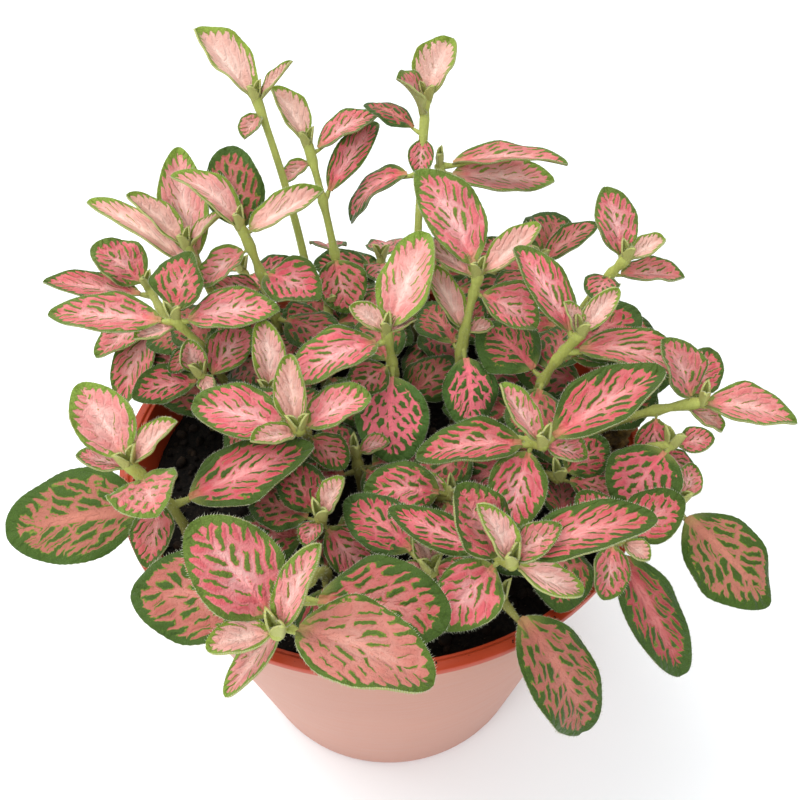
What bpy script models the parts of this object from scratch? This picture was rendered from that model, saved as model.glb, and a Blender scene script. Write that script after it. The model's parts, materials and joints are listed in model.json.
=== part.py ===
"""Nerve plant in its 12 cm nursery pot: the pot, the soil and every leafy stem.

Units are metres with +Z up. The origin is the middle of the pot's base, on the ground.
+Y points away from the side that is seen from the front.
"""

import math
from collections import namedtuple

import bmesh
import bpy
from mathutils import Matrix, Vector
from mathutils.bvhtree import BVHTree

MM = 0.001

Leaf = namedtuple("Leaf", "drop azimuth pitch length width droop age roll", defaults=(0,))
Stem = namedtuple("Stem", "root tip leaves")

# The pot, a thin moulded nursery pot
POT_HEIGHT = 88 * MM
RIM_RADIUS = 60 * MM
RIM_DEPTH = 1.6 * MM
RIM_ROUND = 0.4 * MM
COLLAR_RADIUS = 58.8 * MM
COLLAR_TOP_RADIUS = 59.1 * MM
COLLAR_DEPTH = 6 * MM
WALL_TOP_RADIUS = 58.2 * MM
BASE_RADIUS = 39.5 * MM
BASE_ROUND = 1.5 * MM
WALL = 1.3 * MM
FLOOR = 1.6 * MM
POT_SIDES = 48
DRAIN_COUNT = 4
DRAIN_RADIUS = 3 * MM
DRAIN_CIRCLE = 26 * MM
DRAIN_CUT = 6 * MM
DRAIN_SIDES = 12

# The soil fills the pot to just under the rim, and is a little higher in the middle
SOIL_TOP = 78 * MM
SOIL_CROWN = 1.5 * MM
SHOULDER_RADIUS = 34 * MM
SHOULDER_RISE = 1 * MM
SOIL_SIDES = 36
GAP = 0.3 * MM

# The stems. A bud is rings at a height over the tip, with their radius, in millimetres
ROOT_DEPTH = 8 * MM
ROOT_RADIUS = 1.5 * MM
ROOT_SLACK = 0.45 * MM
NECK_RADIUS = 1.1 * MM
STEM_SIDES = 5
STEM_STEPS = 4
STEM_RISE = 0.55
BUD = ((1.6, 1.5), (4.0, 0.4))

# The leaves. Rows of points are at fractions of the blade's length, and lengths are in millimetres
BLADE = 0.6 * MM
PETIOLE_HALF = 0.75 * MM
LEAF_START = 0.5 * MM
OUTLINE_SKEW = 0.87
OUTLINE_POWER = 0.75
LARGE_LEAF_ROWS = (0.16, 0.45, 0.78)
SMALL_LEAF_ROWS = (0.24, 0.68)
SMALL_LEAF = 16.6
YOUNG_FOLD = 34
OLD_FOLD = -8
YOUNG_PETIOLE = 0.05
OLD_PETIOLE = 0.17
MIDRIB_STEPS = 24
TILT = 16
ROLL = 8
ROLL_STEP = 2.4
WAVE = 0.035
MERGE = 0.01 * MM

# Every stem also has pairs of old leaves low down, which close the canopy over the soil.
# Each pair grows at a height, on the stems whose tip stands over it by a margin
LOW_PAIRS = ((90 * MM, 3 * MM), (101 * MM, 9 * MM))
LOW_LEAF = Leaf(0, 0, 2, 20, 12.5, 25, 0.9)
GOLDEN_ANGLE = 137.5

# Low leaves that would hide a leaf of the plan from the front aren't grown. These are their numbers
HIDING = (173, 177, 188, 190, 206, 209, 214, 217, 225, 227, 228, 234)

# How far a leaf bends, turns and shortens to stay clear of what stood there first
CLEAR = 0.32 * MM
BENDS = (0, 7, -7, 14, -14, 21, -21, 30, -30, 40)
TURNS = (0, 8, -8, 16, -16, 26, -26)
SHORTER = (1.0, 0.9, 0.8, 0.68, 0.55)
TURN_COST = 1.1
SHORTER_COST = 110

# Each stem has its root (x, y), its tip (x, y, z) and its leaves, in millimetres and degrees.
# A leaf's drop is how far under the tip it grows, its azimuth is its heading (0 is +X, 90 is +Y),
# its pitch is how steeply it rises, its droop is how much it bends down along its length,
# and its age runs from 0, just opened, to 1, old and dark. Some leaves also roll to one side.
STEMS = {
    "stem_left": Stem((-36, 16), (-46, 17, 112), (
        (1, 180, 8, 28, 11, 25, 0.45),
        (1, 0, 6, 23.5, 11, 20, 0.4),
        (0, 62, 50, 15.5, 14, 10, 0.55),
        (2, -160, 6, 10, 7, 10, 0.12),
        (9, -110, -15, 9, 6, 20, 0.6),
    )),
    "stem_left_inner": Stem((-33, 8), (-41, 10, 101), (
        (2, -170, -5, 17, 10, 20, 0.5),
        (2, 48, 22, 16, 10, 20, 0.4),
        (0, 128, 35, 9, 6.5, 10, 0.2),
        (0, -60, -5, 6.5, 4.5, 10, 0.1),
    )),
    "stem_left_back": Stem((-36, 28), (-43, 31, 122), (
        (0, 155, 40, 17, 8, 15, 0.05),
        (0, 8, 42, 11.5, 5, 5, 0.05),
        (7, 155, 25, 31, 8.5, 30, 0.1),
        (6, 100, 58, 28, 12, 15, 0.3),
    )),
    "stem_bud": Stem((-24, 30), (-30, 31, 127), (
        (2, 165, 28, 20.5, 8.5, 60, 0.15),
        (2, 3, 28, 21, 9, 20, 0.05),
        (4, 105, 58, 21, 14, 25, 0.7),
        (6, -152, -25, 14, 10, 20, 0.3),
        (13, -35, -4, 17, 14, 25, 0.4),
        (18, 178, 0, 13, 7, 10, 0.4),
    )),
    "stem_tall_left": Stem((-16, 42), (-26, 58, 144), (
        (0, 146, 42, 20.5, 13, 10, 0.02),
        (0, 10, 45, 12, 4.5, 5, 0.02),
        (3, -120, -20, 8, 6, 10, 0.2),
    )),
    "stem_cream": Stem((-8, 40), (-15, 58, 132), (
        (0, 133, 45, 16, 9, 15, 0.02),
        (2, 25, 18, 20, 9.5, 20, 0.4),
        (14, 48, 30, 26, 8, 60, 0.5),
        (4, -170, -30, 9, 6, 20, 0.2),
        (27, -78, -35, 16, 13, 20, 0.5),
        (27, 102, -25, 16, 10, 30, 0.6),
    )),
    "stem_tall": Stem((10, 38), (14, 59, 142), (
        (0, 50, 52, 15, 12, 10, 0.02),
        (4, -165, 60, 13, 12, 50, 0.3),
        (8, 148, 15, 17, 7, 40, 0.9),
        (8, -100, -40, 10, 6.5, 15, 0.4),
        (17, 178, -38, 24, 11, 80, 0.6),
    )),
    "stem_arching": Stem((18, 36), (17, 53, 128), (
        (0, -12, 5, 31, 10, 30, 0.35, -10),
        (2, 0, -6, 28.5, 12, 15, 0.35, 10),
        (14, -60, -5, 14, 9, 20, 0.5),
    )),
    "stem_centre_back": Stem((18, 12), (23, 18, 120), (
        (0, 133, 45, 26.5, 14, 20, 0.35),
        (0, 19, 35, 17, 8, 10, 0.08),
        (1, 153, 20, 17, 7, 55, 0.15),
        (4, -30, -18, 16, 12.5, 30, 0.4),
        (14, 131, 48, 17.5, 8, 25, 0.1),
        (14, 13, 5, 6.5, 5, 10, 0.12),
        (17, -86, -45, 20, 13, 25, 0.95),
        (17, 76, 25, 13, 10, 30, 0.8),
    )),
    "stem_right_inner": Stem((34, 4), (43, 1, 116), (
        (2, 134, 42, 24, 9.5, 45, 0.3),
        (0, 28, 45, 12, 6, 5, 0.06),
        (0, 131, 55, 8, 5, 5, 0.1),
        (6, -20, -2, 28, 11, 60, 0.4),
        (9, 7, 5, 18.5, 10, 20, 0.7),
        (16, 138, 5, 20, 15, 25, 0.85),
        (9, 10, 50, 20, 14, 25, 0.8),
    )),
    "stem_right_behind": Stem((30, 24), (42, 42, 106), (
        (0, 62, 20, 16, 15.5, 30, 0.8),
        (2, 25, 25, 19.5, 8, 40, 0.6),
        (2, -131, 0, 16.5, 10, 20, 0.8),
        (4, 150, 15, 17, 10, 25, 0.6),
    )),
    "stem_right_back": Stem((44, 22), (56, 19, 122), (
        (1, 112, 52, 17, 10.5, 20, 0.35),
        (0, 23, 30, 10, 6, 10, 0.03),
        (5, -7, 0, 16, 9, 20, 0.4),
        (5, -119, 5, 12, 8, 30, 0.6),
    )),
    "stem_right": Stem((44, -4), (67, -13, 108), (
        (2, -21, 2, 20, 10.5, 25, 0.3),
        (2, 140, 40, 16, 10.5, 25, 0.35),
        (4, 53, 45, 14.5, 9.5, 20, 0.55),
        (4, -32, -20, 9, 6, 20, 0.2),
        (10, -100, -55, 12, 8, 20, 0.5),
    )),
    "stem_right_low": Stem((40, -14), (60, -19, 102), (
        (0, -135, -25, 18, 16, 25, 0.45),
        (4, -22, -30, 11.5, 6, 20, 0.5),
        (0, -9, 20, 8, 6, 10, 0.4),
    )),
    "stem_outer_right": Stem((42, -20), (60, -29, 95), (
        (2, -46, -24, 27.5, 18, 20, 0.8, 8),
        (0, 60, 20, 9, 6, 10, 0.3),
    )),
    "stem_drooping": Stem((32, -26), (46, -38, 96), (
        (3, -48, -48, 34, 12, 15, 0.6),
        (2, -107, -28, 12, 8, 20, 0.4),
        (2, 15, 12, 15.5, 11, 20, 0.6),
        (0, -37, -5, 6, 5, 10, 0.1),
        (0, 130, 20, 12, 8, 20, 0.5),
    )),
    "stem_middle_right": Stem((20, -4), (32, -23, 108), (
        (0, 138, 45, 15, 7.5, 15, 0.12),
        (1, 15, 28, 28, 13, 30, 0.35),
        (1, -20, -5, 9, 7, 15, 0.15),
        (3, -174, 0, 24, 11, 25, 0.35),
        (4, -111, -25, 18.5, 12, 25, 0.45),
    )),
    "stem_front_right": Stem((14, -32), (22, -50, 107), (
        (2, 140, 50, 17, 12, 15, 0.4),
        (0, 143, 58, 13.5, 6.5, 10, 0.05),
        (3, 0, 22, 27.5, 10.5, 30, 0.4),
        (0, -15, 0, 13.5, 6.5, 15, 0.03),
        (4, -138, -15, 17, 12, 40, 0.5),
        (5, 156, 12, 22, 7.5, 30, 0.5),
        (3, 3, 45, 12.5, 6.5, 20, 0.3),
    )),
    "stem_over_rim": Stem((20, -40), (21, -49, 94), (
        (0, -46, -47, 33, 15, 58, 0.65),
        (0, 167, 5, 9, 7, 20, 0.6),
    )),
    "stem_front_left": Stem((-12, -36), (-18, -65, 113), (
        (2, 142, 45, 22, 14.5, 20, 0.45),
        (0, 44, 52, 16.5, 7, 5, 0.03),
        (1, -165, 5, 11, 6.5, 20, 0.1),
        (3, -28, 4, 26.5, 15, 25, 0.4),
        (8, 169, 0, 27.5, 17, 20, 0.75),
        (6, -135, -25, 15.5, 5.5, 10, 0.2),
        (12, -14, 4, 26.5, 16, 25, 0.7),
    )),
    "stem_front": Stem((6, -34), (8, -46, 100), (
        (0, 108, 50, 9, 6, 10, 0.1),
        (1, -166, 5, 7, 5, 60, 0.25),
        (8, 138, 10, 20.5, 12, 25, 0.8),
        (8, -36, 0, 13, 9, 20, 0.6),
    )),
    "stem_front_inner": Stem((-14, -26), (-13, -30, 97), (
        (0, 42, 50, 9.5, 6, 10, 0.1),
        (3, 160, 5, 15.5, 11, 30, 0.85),
        (3, 130, 28, 14, 10, 25, 0.85),
        (3, -69, -30, 15, 10, 20, 0.5),
        (1, -115, 0, 7, 5, 60, 0.4),
    )),
    "stem_small": Stem((2, -18), (14, -24, 95), (
        (0, -178, 10, 19, 12, 60, 0.8),
        (0, 158, 12, 10, 5, 10, 0.1),
        (3, -60, 0, 14, 9, 20, 0.7),
    )),
    "stem_left_front": Stem((-40, -27), (-49, -25, 110), (
        (0, 130, 42, 18, 12, 15, 0.25),
        (1, 166, 10, 11, 6, 15, 0.3),
        (0, 24, 42, 12.5, 7, 5, 0.08),
        (3, -65, 8, 13, 14, 20, 0.3),
        (13, -176, -5, 33, 20, 15, 0.75, -18),
        (13, 17, 12, 31, 15, 20, 0.6),
        (9, -96, -22, 14.5, 8.5, 20, 0.5),
    )),
    "stem_middle_left": Stem((-16, -2), (-17, -15, 107), (
        (1, 164, 8, 23, 12, 25, 0.4),
        (0, 96, 50, 15.5, 7.5, 15, 0.06),
        (1, -147, -8, 11, 6.5, 10, 0.15),
        (2, 17, 18, 16, 10.5, 20, 0.3),
        (10, -46, -10, 12, 8, 20, 0.6),
        (10, 149, 10, 17, 11, 20, 0.7),
    )),
    "stem_middle": Stem((4, 8), (2, 8, 113), (
        (1, 57, 45, 24, 13.5, 20, 0.25),
        (2, -146, 2, 25, 13, 25, 0.4),
        (0, 159, 35, 9.5, 6.5, 10, 0.05),
        (0, 18, 25, 7, 4.5, 10, 0.1),
        (9, -90, -42, 23, 17, 20, 0.65),
        (9, -135, 0, 13, 9, 20, 0.6),
    )),
    "stem_far_left": Stem((-42, 14), (-59, 46, 100), (
        (0, 160, 38, 17, 14.5, 25, 0.4),
        (3, 180, 13, 27, 9, 25, 0.45),
        (8, -137, -10, 20, 10, 25, 0.35),
        (9, -113, -20, 26, 11, 20, 0.4),
    )),
    "stem_low_back": Stem((-14, 18), (-12, 35, 100), (
        (2, -164, 0, 17, 13, 25, 0.85),
        (0, 53, 30, 11, 9, 20, 0.3),
        (6, -144, 10, 17.5, 9, 20, 0.75),
        (6, 23, 10, 20.5, 12, 20, 0.8),
    )),
    "stem_low_left": Stem((-24, 3), (-25, 5, 99), (
        (0, 96, 50, 16.5, 8.5, 12, 0.1),
        (0, -84, 10, 8, 5, 20, 0.2),
        (4, 178, 5, 14, 10, 25, 0.8),
        (4, -5, 5, 12, 9, 25, 0.8),
    )),
    "stem_low_middle": Stem((-5, -13), (-6, -10, 94), (
        (0, 10, 15, 7.5, 5.5, 15, 0.25),
        (0, -150, 5, 9, 6, 20, 0.35),
        (3, 130, 5, 14, 9, 25, 0.85),
        (3, -50, 0, 14, 9.5, 25, 0.85),
    )),
    "stem_low_right": Stem((28, -8), (37, -20, 94), (
        (0, 27, 10, 13, 10, 20, 0.8),
        (0, -21, -10, 13.5, 9, 20, 0.8),
    )),
    "stem_back": Stem((0, 48), (2, 61, 96), (
        (1, 85, -20, 22, 12, 30, 0.6),
        (1, -95, 15, 14, 9, 20, 0.5),
        (4, 165, 0, 19, 11, 25, 0.7),
        (4, -10, 0, 19, 11, 25, 0.7),
    )),
    "stem_back_left": Stem((-27, 43), (-36, 56, 97), (
        (1, 125, -20, 24, 12, 30, 0.6),
        (1, -50, 5, 13, 8, 20, 0.5),
        (4, 40, -8, 17, 10, 25, 0.7),
    )),
    "stem_back_right": Stem((28, 42), (34, 59, 96), (
        (1, 60, -20, 23, 12, 30, 0.6),
        (4, 130, -5, 17, 10, 25, 0.7),
        (4, -40, 0, 16, 10, 25, 0.7),
    )),
    "stem_side_right": Stem((48, 10), (58, 14, 96), (
        (1, 25, -25, 18, 11, 25, 0.6),
        (3, -60, -5, 15, 9, 20, 0.7),
        (3, 100, 0, 16, 10, 20, 0.7),
    )),
}

# Colours from the photo: base colour, roughness
MATERIALS = {
    "pot": ((0.62, 0.27, 0.19), 0.5),
    "soil": ((0.012, 0.009, 0.007), 0.95),
    "leaf": ((0.72, 0.22, 0.24), 0.55),
}


def clear_scene():
    for thing in list(bpy.data.objects):
        bpy.data.objects.remove(thing, do_unlink=True)


def material(name):
    colour, roughness = MATERIALS[name]
    finish = bpy.data.materials.get(name) or bpy.data.materials.new(name)
    finish.use_nodes = True
    shader = finish.node_tree.nodes["Principled BSDF"]
    shader.inputs["Base Color"].default_value = (*colour, 1)
    shader.inputs["Roughness"].default_value = roughness
    return finish


def add_object(name, bm, finish, collection=None):
    mesh = bpy.data.meshes.new(name)
    bm.to_mesh(mesh)
    bm.free()
    mesh.materials.append(material(finish))
    thing = bpy.data.objects.new(name, mesh)
    (collection or bpy.context.scene.collection).objects.link(thing)
    return thing


def apply_modifiers(thing):
    view = bpy.context.evaluated_depsgraph_get()
    mesh = bpy.data.meshes.new_from_object(thing.evaluated_get(view))
    thing.modifiers.clear()
    thing.data = mesh


def combine(thing, parts, operation):
    """Joins or cuts a thing with a whole collection of parts, which are then removed."""
    for part in parts.objects:
        part.hide_render = True
        part.display_type = "WIRE"
    boolean = thing.modifiers.new(operation.lower(), "BOOLEAN")
    boolean.operation = operation
    boolean.operand_type = "COLLECTION"
    boolean.collection = parts
    boolean.solver = "EXACT"
    apply_modifiers(thing)
    for part in list(parts.objects):
        bpy.data.objects.remove(part, do_unlink=True)
    bpy.data.collections.remove(parts)


def new_collection(name):
    parts = bpy.data.collections.new(name)
    bpy.context.scene.collection.children.link(parts)
    return parts


def add_cutter(name, radius, depth, sides, place, parts):
    """A round cutter for a hole, centred on its place."""
    bm = bmesh.new()
    bmesh.ops.create_cone(
        bm, cap_ends=True, segments=sides, radius1=radius, radius2=radius, depth=depth,
        matrix=Matrix.Translation(place))
    add_object(name, bm, "soil", parts)


def turned(profile, sides):
    """Turns an outline of (radius, height) points, from the axis back to the axis, about Z."""
    bm = bmesh.new()
    points = [bm.verts.new((radius, 0, height)) for radius, height in profile]
    edges = [bm.edges.new(pair) for pair in zip(points, points[1:])]
    bmesh.ops.spin(bm, geom=points + edges, angle=math.tau, steps=sides, axis=(0, 0, 1), use_merge=True)
    bmesh.ops.remove_doubles(bm, verts=bm.verts, dist=MERGE)
    bmesh.ops.recalc_face_normals(bm, faces=bm.faces)
    return bm


def wall_radius(height):
    """The outer wall's radius at a height."""
    return BASE_RADIUS + (WALL_TOP_RADIUS - BASE_RADIUS) * height / POT_HEIGHT


def make_pot():
    collar_foot = POT_HEIGHT - COLLAR_DEPTH
    rim_foot = POT_HEIGHT - RIM_DEPTH
    profile = [
        (0, 0),
        (BASE_RADIUS - BASE_ROUND, 0),
        (BASE_RADIUS, BASE_ROUND),
        (wall_radius(collar_foot), collar_foot),
        (COLLAR_RADIUS, collar_foot + COLLAR_RADIUS - wall_radius(collar_foot)),
        (COLLAR_TOP_RADIUS, rim_foot),
        (RIM_RADIUS, rim_foot),
        (RIM_RADIUS, POT_HEIGHT - RIM_ROUND),
        (RIM_RADIUS - RIM_ROUND, POT_HEIGHT),
        (WALL_TOP_RADIUS - WALL, POT_HEIGHT),
        (wall_radius(FLOOR) - WALL, FLOOR),
        (0, FLOOR),
    ]
    pot = add_object("pot", turned(profile, POT_SIDES), "pot")
    drains = new_collection("drains")
    for index in range(DRAIN_COUNT):
        angle = math.tau * index / DRAIN_COUNT
        place = DRAIN_CIRCLE * Vector((math.cos(angle), math.sin(angle), 0))
        add_cutter(f"drain_{index}", DRAIN_RADIUS, DRAIN_CUT, DRAIN_SIDES, place, drains)
    combine(pot, drains, "DIFFERENCE")
    return pot


def make_soil():
    low = FLOOR + GAP
    inset = WALL + GAP
    profile = [
        (0, low),
        (wall_radius(low) - inset, low),
        (wall_radius(SOIL_TOP) - inset, SOIL_TOP),
        (SHOULDER_RADIUS, SOIL_TOP + SHOULDER_RISE),
        (0, SOIL_TOP + SOIL_CROWN),
    ]
    soil = add_object("soil", turned(profile, SOIL_SIDES), "soil")
    holes = new_collection("holes")
    depth = 2 * (ROOT_DEPTH + GAP)
    for name, stem in STEMS.items():
        place = Vector((*stem.root, 0)) * MM + Vector((0, 0, SOIL_TOP))
        add_cutter(f"hole_{name}", ROOT_RADIUS + ROOT_SLACK, depth, STEM_SIDES, place, holes)
    combine(soil, holes, "DIFFERENCE")
    return soil


def stem_line(stem):
    """Points up the middle of a stem: straight in the soil, then one bend out to its tip."""
    foot = Vector((*stem.root, 0)) * MM + Vector((0, 0, SOIL_TOP + SOIL_CROWN + GAP))
    tip = Vector(stem.tip) * MM
    knee = Vector((foot.x, foot.y, foot.z + STEM_RISE * (tip.z - foot.z)))
    line = [Vector((foot.x, foot.y, SOIL_TOP - ROOT_DEPTH))]
    for step in range(STEM_STEPS + 1):
        t = step / STEM_STEPS
        line.append((1 - t) ** 2 * foot + 2 * t * (1 - t) * knee + t * t * tip)
    return line


def below_tip(line, drop):
    """The point on a stem's line that is a drop under its tip."""
    left = drop * MM
    for upper, lower in zip(reversed(line), reversed(line[:-1])):
        length = (upper - lower).length
        if left <= length:
            return upper.lerp(lower, left / length)
        left -= length
    return line[0].copy()


def stem_mesh(stem, swell=0.0):
    """A tapering stem with its bud, as rings bridged one to the next."""
    line = stem_line(stem)
    heading = (line[-1] - line[-2]).normalized()
    rings = [
        (point, ROOT_RADIUS + (NECK_RADIUS - ROOT_RADIUS) * index / (len(line) - 1))
        for index, point in enumerate(line)
    ]
    rings += [(line[-1] + heading * rise * MM, radius * MM) for rise, radius in BUD]
    bm = bmesh.new()
    loops = []
    for index, (point, radius) in enumerate(rings):
        ahead = rings[min(index + 1, len(rings) - 1)][0] - rings[max(index - 1, 0)][0]
        turn = Vector((0, 0, 1)).rotation_difference(ahead).to_matrix().to_4x4()
        made = bmesh.ops.create_circle(
            bm, segments=STEM_SIDES, radius=radius + swell, matrix=Matrix.Translation(point) @ turn)
        loops.append(list({edge for vert in made["verts"] for edge in vert.link_edges}))
    for low, high in zip(loops, loops[1:]):
        bmesh.ops.bridge_loops(bm, edges=low + high)
    for end in (loops[0], loops[-1]):
        bmesh.ops.contextual_create(bm, geom=end)
    bmesh.ops.recalc_face_normals(bm, faces=bm.faces)
    return bm


def mix(young, old, age):
    return young + (old - young) * age


def half_width(leaf, along):
    """Half of a leaf's width at a fraction of its length: a petiole, then a pointed oval blade."""
    petiole = mix(YOUNG_PETIOLE, OLD_PETIOLE, leaf.age)
    if along <= petiole:
        return PETIOLE_HALF
    blade = (along - petiole) / (1 - petiole)
    oval = math.sin(math.pi * min(blade, 1.0) ** OUTLINE_SKEW) ** OUTLINE_POWER
    return max(PETIOLE_HALF * (1 - blade), leaf.width / 2 * MM * oval)


def midrib(leaf, base, fractions, number):
    """For each fraction of the length: the midrib's point, and the directions across and up."""
    azimuth = math.radians(leaf.azimuth)
    heading = Vector((math.cos(azimuth), math.sin(azimuth), 0))
    across = Vector((math.sin(azimuth), -math.cos(azimuth), 0))
    roll = math.radians(leaf.roll + TILT * heading.x + ROLL * math.sin(ROLL_STEP * number))
    stride = leaf.length * MM / MIDRIB_STEPS
    walked = [base + heading * LEAF_START]
    for step in range(MIDRIB_STEPS):
        pitch = math.radians(leaf.pitch + leaf.droop * (0.5 - (step + 0.5) / MIDRIB_STEPS))
        walked.append(walked[-1] + (heading * math.cos(pitch) + Vector((0, 0, math.sin(pitch)))) * stride)
    frames = []
    for along in fractions:
        low = min(int(along * MIDRIB_STEPS), MIDRIB_STEPS - 1)
        here = walked[low].lerp(walked[low + 1], along * MIDRIB_STEPS - low)
        forward = (walked[low + 1] - walked[low]).normalized()
        side = Matrix.Rotation(roll, 3, forward) @ across
        frames.append((here, side, side.cross(forward)))
    return frames


def leaf_rows(leaf):
    """The fractions of the length at which a leaf has its rows of points."""
    petiole = mix(YOUNG_PETIOLE, OLD_PETIOLE, leaf.age)
    plain = leaf.length < SMALL_LEAF or leaf.age >= LOW_LEAF.age
    rows = SMALL_LEAF_ROWS if plain else LARGE_LEAF_ROWS
    return [0.0] + [petiole + (1 - petiole) * row for row in rows] + [1.0]


def leaf_face(leaf, base, number):
    """A leaf's upper face: a grid folded up along its midrib and drawn to a point at its root and its tip."""
    rows = leaf_rows(leaf)
    last = len(rows) - 1
    frames = midrib(leaf, base, rows, number)
    fold = math.radians(mix(YOUNG_FOLD, OLD_FOLD, leaf.age))
    bm = bmesh.new()
    bmesh.ops.create_grid(bm, x_segments=2, y_segments=last, size=1)
    grid = {vert: (round(vert.co.x), round((vert.co.y + 1) / 2 * last)) for vert in bm.verts}
    for vert, (column, row) in grid.items():
        here, side, up = frames[row]
        lift = math.sin(fold) + WAVE * (-1) ** (row + (column > 0))
        out = side * column * math.cos(fold) + up * abs(column) * lift
        vert.co = here + out * half_width(leaf, rows[row])
    for end in (0, last):
        ends = [vert for vert, (column, row) in grid.items() if row == end]
        bmesh.ops.pointmerge(bm, verts=ends, merge_co=frames[end][0])
    bmesh.ops.triangulate(bm, faces=bm.faces, quad_method="ALTERNATE")
    bmesh.ops.recalc_face_normals(bm, faces=bm.faces)
    if sum((face.normal for face in bm.faces), Vector()).dot(frames[1][2]) < 0:
        bmesh.ops.reverse_faces(bm, faces=bm.faces)
    return bm


def leaf_mesh(leaf, base, number, swell=0.0, blade_only=False):
    """A thin closed blade. It can be swollen all round, and can leave out what joins it to its stem."""
    wide = leaf._replace(width=leaf.width + 2 * swell / MM, length=leaf.length + swell / MM)
    bm = leaf_face(wide, base, number)
    if blade_only:
        root = min(bm.verts, key=lambda vert: (vert.co - base).length)
        bmesh.ops.delete(bm, geom=[root], context="VERTS")
    bmesh.ops.solidify(bm, geom=bm.faces, thickness=BLADE + 2 * swell)
    bmesh.ops.recalc_face_normals(bm, faces=bm.faces)
    return bm


def choices(leaf):
    """The leaf as drawn, then every bent, turned or shortened form of it, the least changed first."""
    forms = []
    for shorter in SHORTER:
        for bend in BENDS:
            for turn in TURNS:
                cost = abs(bend) + TURN_COST * abs(turn) + SHORTER_COST * (1 - shorter)
                form = leaf._replace(
                    azimuth=leaf.azimuth + turn, pitch=leaf.pitch + bend,
                    length=leaf.length * shorter, width=leaf.width * (1 + shorter) / 2)
                forms.append((cost, len(forms), form))
    return [form for cost, order, form in sorted(forms)]


def tree(bm):
    made = BVHTree.FromBMesh(bm)
    low = Vector([min(vert.co[axis] for vert in bm.verts) for axis in range(3)])
    high = Vector([max(vert.co[axis] for vert in bm.verts) for axis in range(3)])
    return made, low, high


def meets(one, others):
    """Whether a tree crosses any of the others. Only those whose boxes meet are tried."""
    made, low, high = one
    for other, other_low, other_high in others:
        if all(low[i] <= other_high[i] and other_low[i] <= high[i] for i in range(3)):
            if made.overlap(other):
                return True
    return False


def free_tree(bm):
    made = tree(bm)
    bm.free()
    return made


def length_above(line, height):
    """How much of a stem's line stands over a height."""
    above = 0
    for low, high in zip(line, line[1:]):
        share = (high.z - height) / (high.z - low.z)
        above += (high - low).length * min(max(share, 0), 1)
    return above


def low_leaves(line, index):
    """Pairs of old leaves low on a stem, each pair square to the one under it."""
    leaves = []
    for pair, (height, margin) in enumerate(LOW_PAIRS):
        if line[-1].z > height + margin:
            drop = length_above(line, height) / MM
            azimuth = (GOLDEN_ANGLE * index + 90 * pair) % 180
            leaves += [LOW_LEAF._replace(drop=drop, azimuth=azimuth - 180 * side) for side in range(2)]
    return leaves


def all_leaves():
    """Every leaf as drawn, with the name of its stem: those of the plan first, then the low ones."""
    drawn = [(name, Leaf(*row)) for name, stem in STEMS.items() for row in stem.leaves]
    for index, (name, stem) in enumerate(STEMS.items()):
        drawn += [(name, leaf) for leaf in low_leaves(stem_line(stem), index)]
    return drawn


def clear_form(leaf, base, number, others, own):
    """The least changed form that is clear of other stems and, if it can be, of its own stem's leaves."""
    spare = None
    for form in choices(leaf):
        if meets(free_tree(leaf_mesh(form, base, number, CLEAR)), others):
            continue
        spare = spare or form
        if not meets(free_tree(leaf_mesh(form, base, number, CLEAR, blade_only=True)), own):
            return form
    return spare


def place_leaves(obstacles):
    """Picks each leaf's form, clear of the pot, the soil and what other stems hold."""
    stems = {name: free_tree(stem_mesh(stem)) for name, stem in STEMS.items()}
    held = {name: [] for name in STEMS}
    blades = {name: [] for name in STEMS}
    placed = {name: [] for name in STEMS}
    for number, (name, leaf) in enumerate(all_leaves()):
        if number in HIDING:
            continue
        base = below_tip(stem_line(STEMS[name]), leaf.drop)
        others = obstacles + [stem for other, stem in stems.items() if other != name]
        others += [held_leaf for other, leaves in held.items() if other != name for held_leaf in leaves]
        form = clear_form(leaf, base, number, others, blades[name])
        if form:
            placed[name].append((form, base, number))
            held[name].append(free_tree(leaf_mesh(form, base, number)))
            blades[name].append(free_tree(leaf_mesh(form, base, number, blade_only=True)))
    return placed


def make_stem(name, leaves):
    """One leafy stem: its leaves are joined to it by one union."""
    stem = add_object(name, stem_mesh(STEMS[name]), "leaf")
    blades = new_collection(f"{name}_leaves")
    for index, (leaf, base, number) in enumerate(leaves):
        add_object(f"{name}_leaf_{index}", leaf_mesh(leaf, base, number), "leaf", blades)
    combine(stem, blades, "UNION")
    return stem


def mesh_tree(thing):
    bm = bmesh.new()
    bm.from_mesh(thing.data)
    return free_tree(bm)


def main():
    clear_scene()
    pot = make_pot()
    soil = make_soil()
    leaves = place_leaves([mesh_tree(pot), mesh_tree(soil)])
    for name in STEMS:
        make_stem(name, leaves[name])


main()
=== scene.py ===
"""Nerve plant in its 12 cm nursery pot, dressed: moulded pot, crumbly soil, veined and hairy leaves.

Units are metres with +Z up, in the frame of the solids. Every leaf stands where the solids have it.
"""

import json
import math
import random
from collections import namedtuple
from functools import partialmethod

import bmesh
import bpy
import numpy as np
from mathutils import Matrix, Vector, noise
from mathutils.kdtree import KDTree

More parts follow.
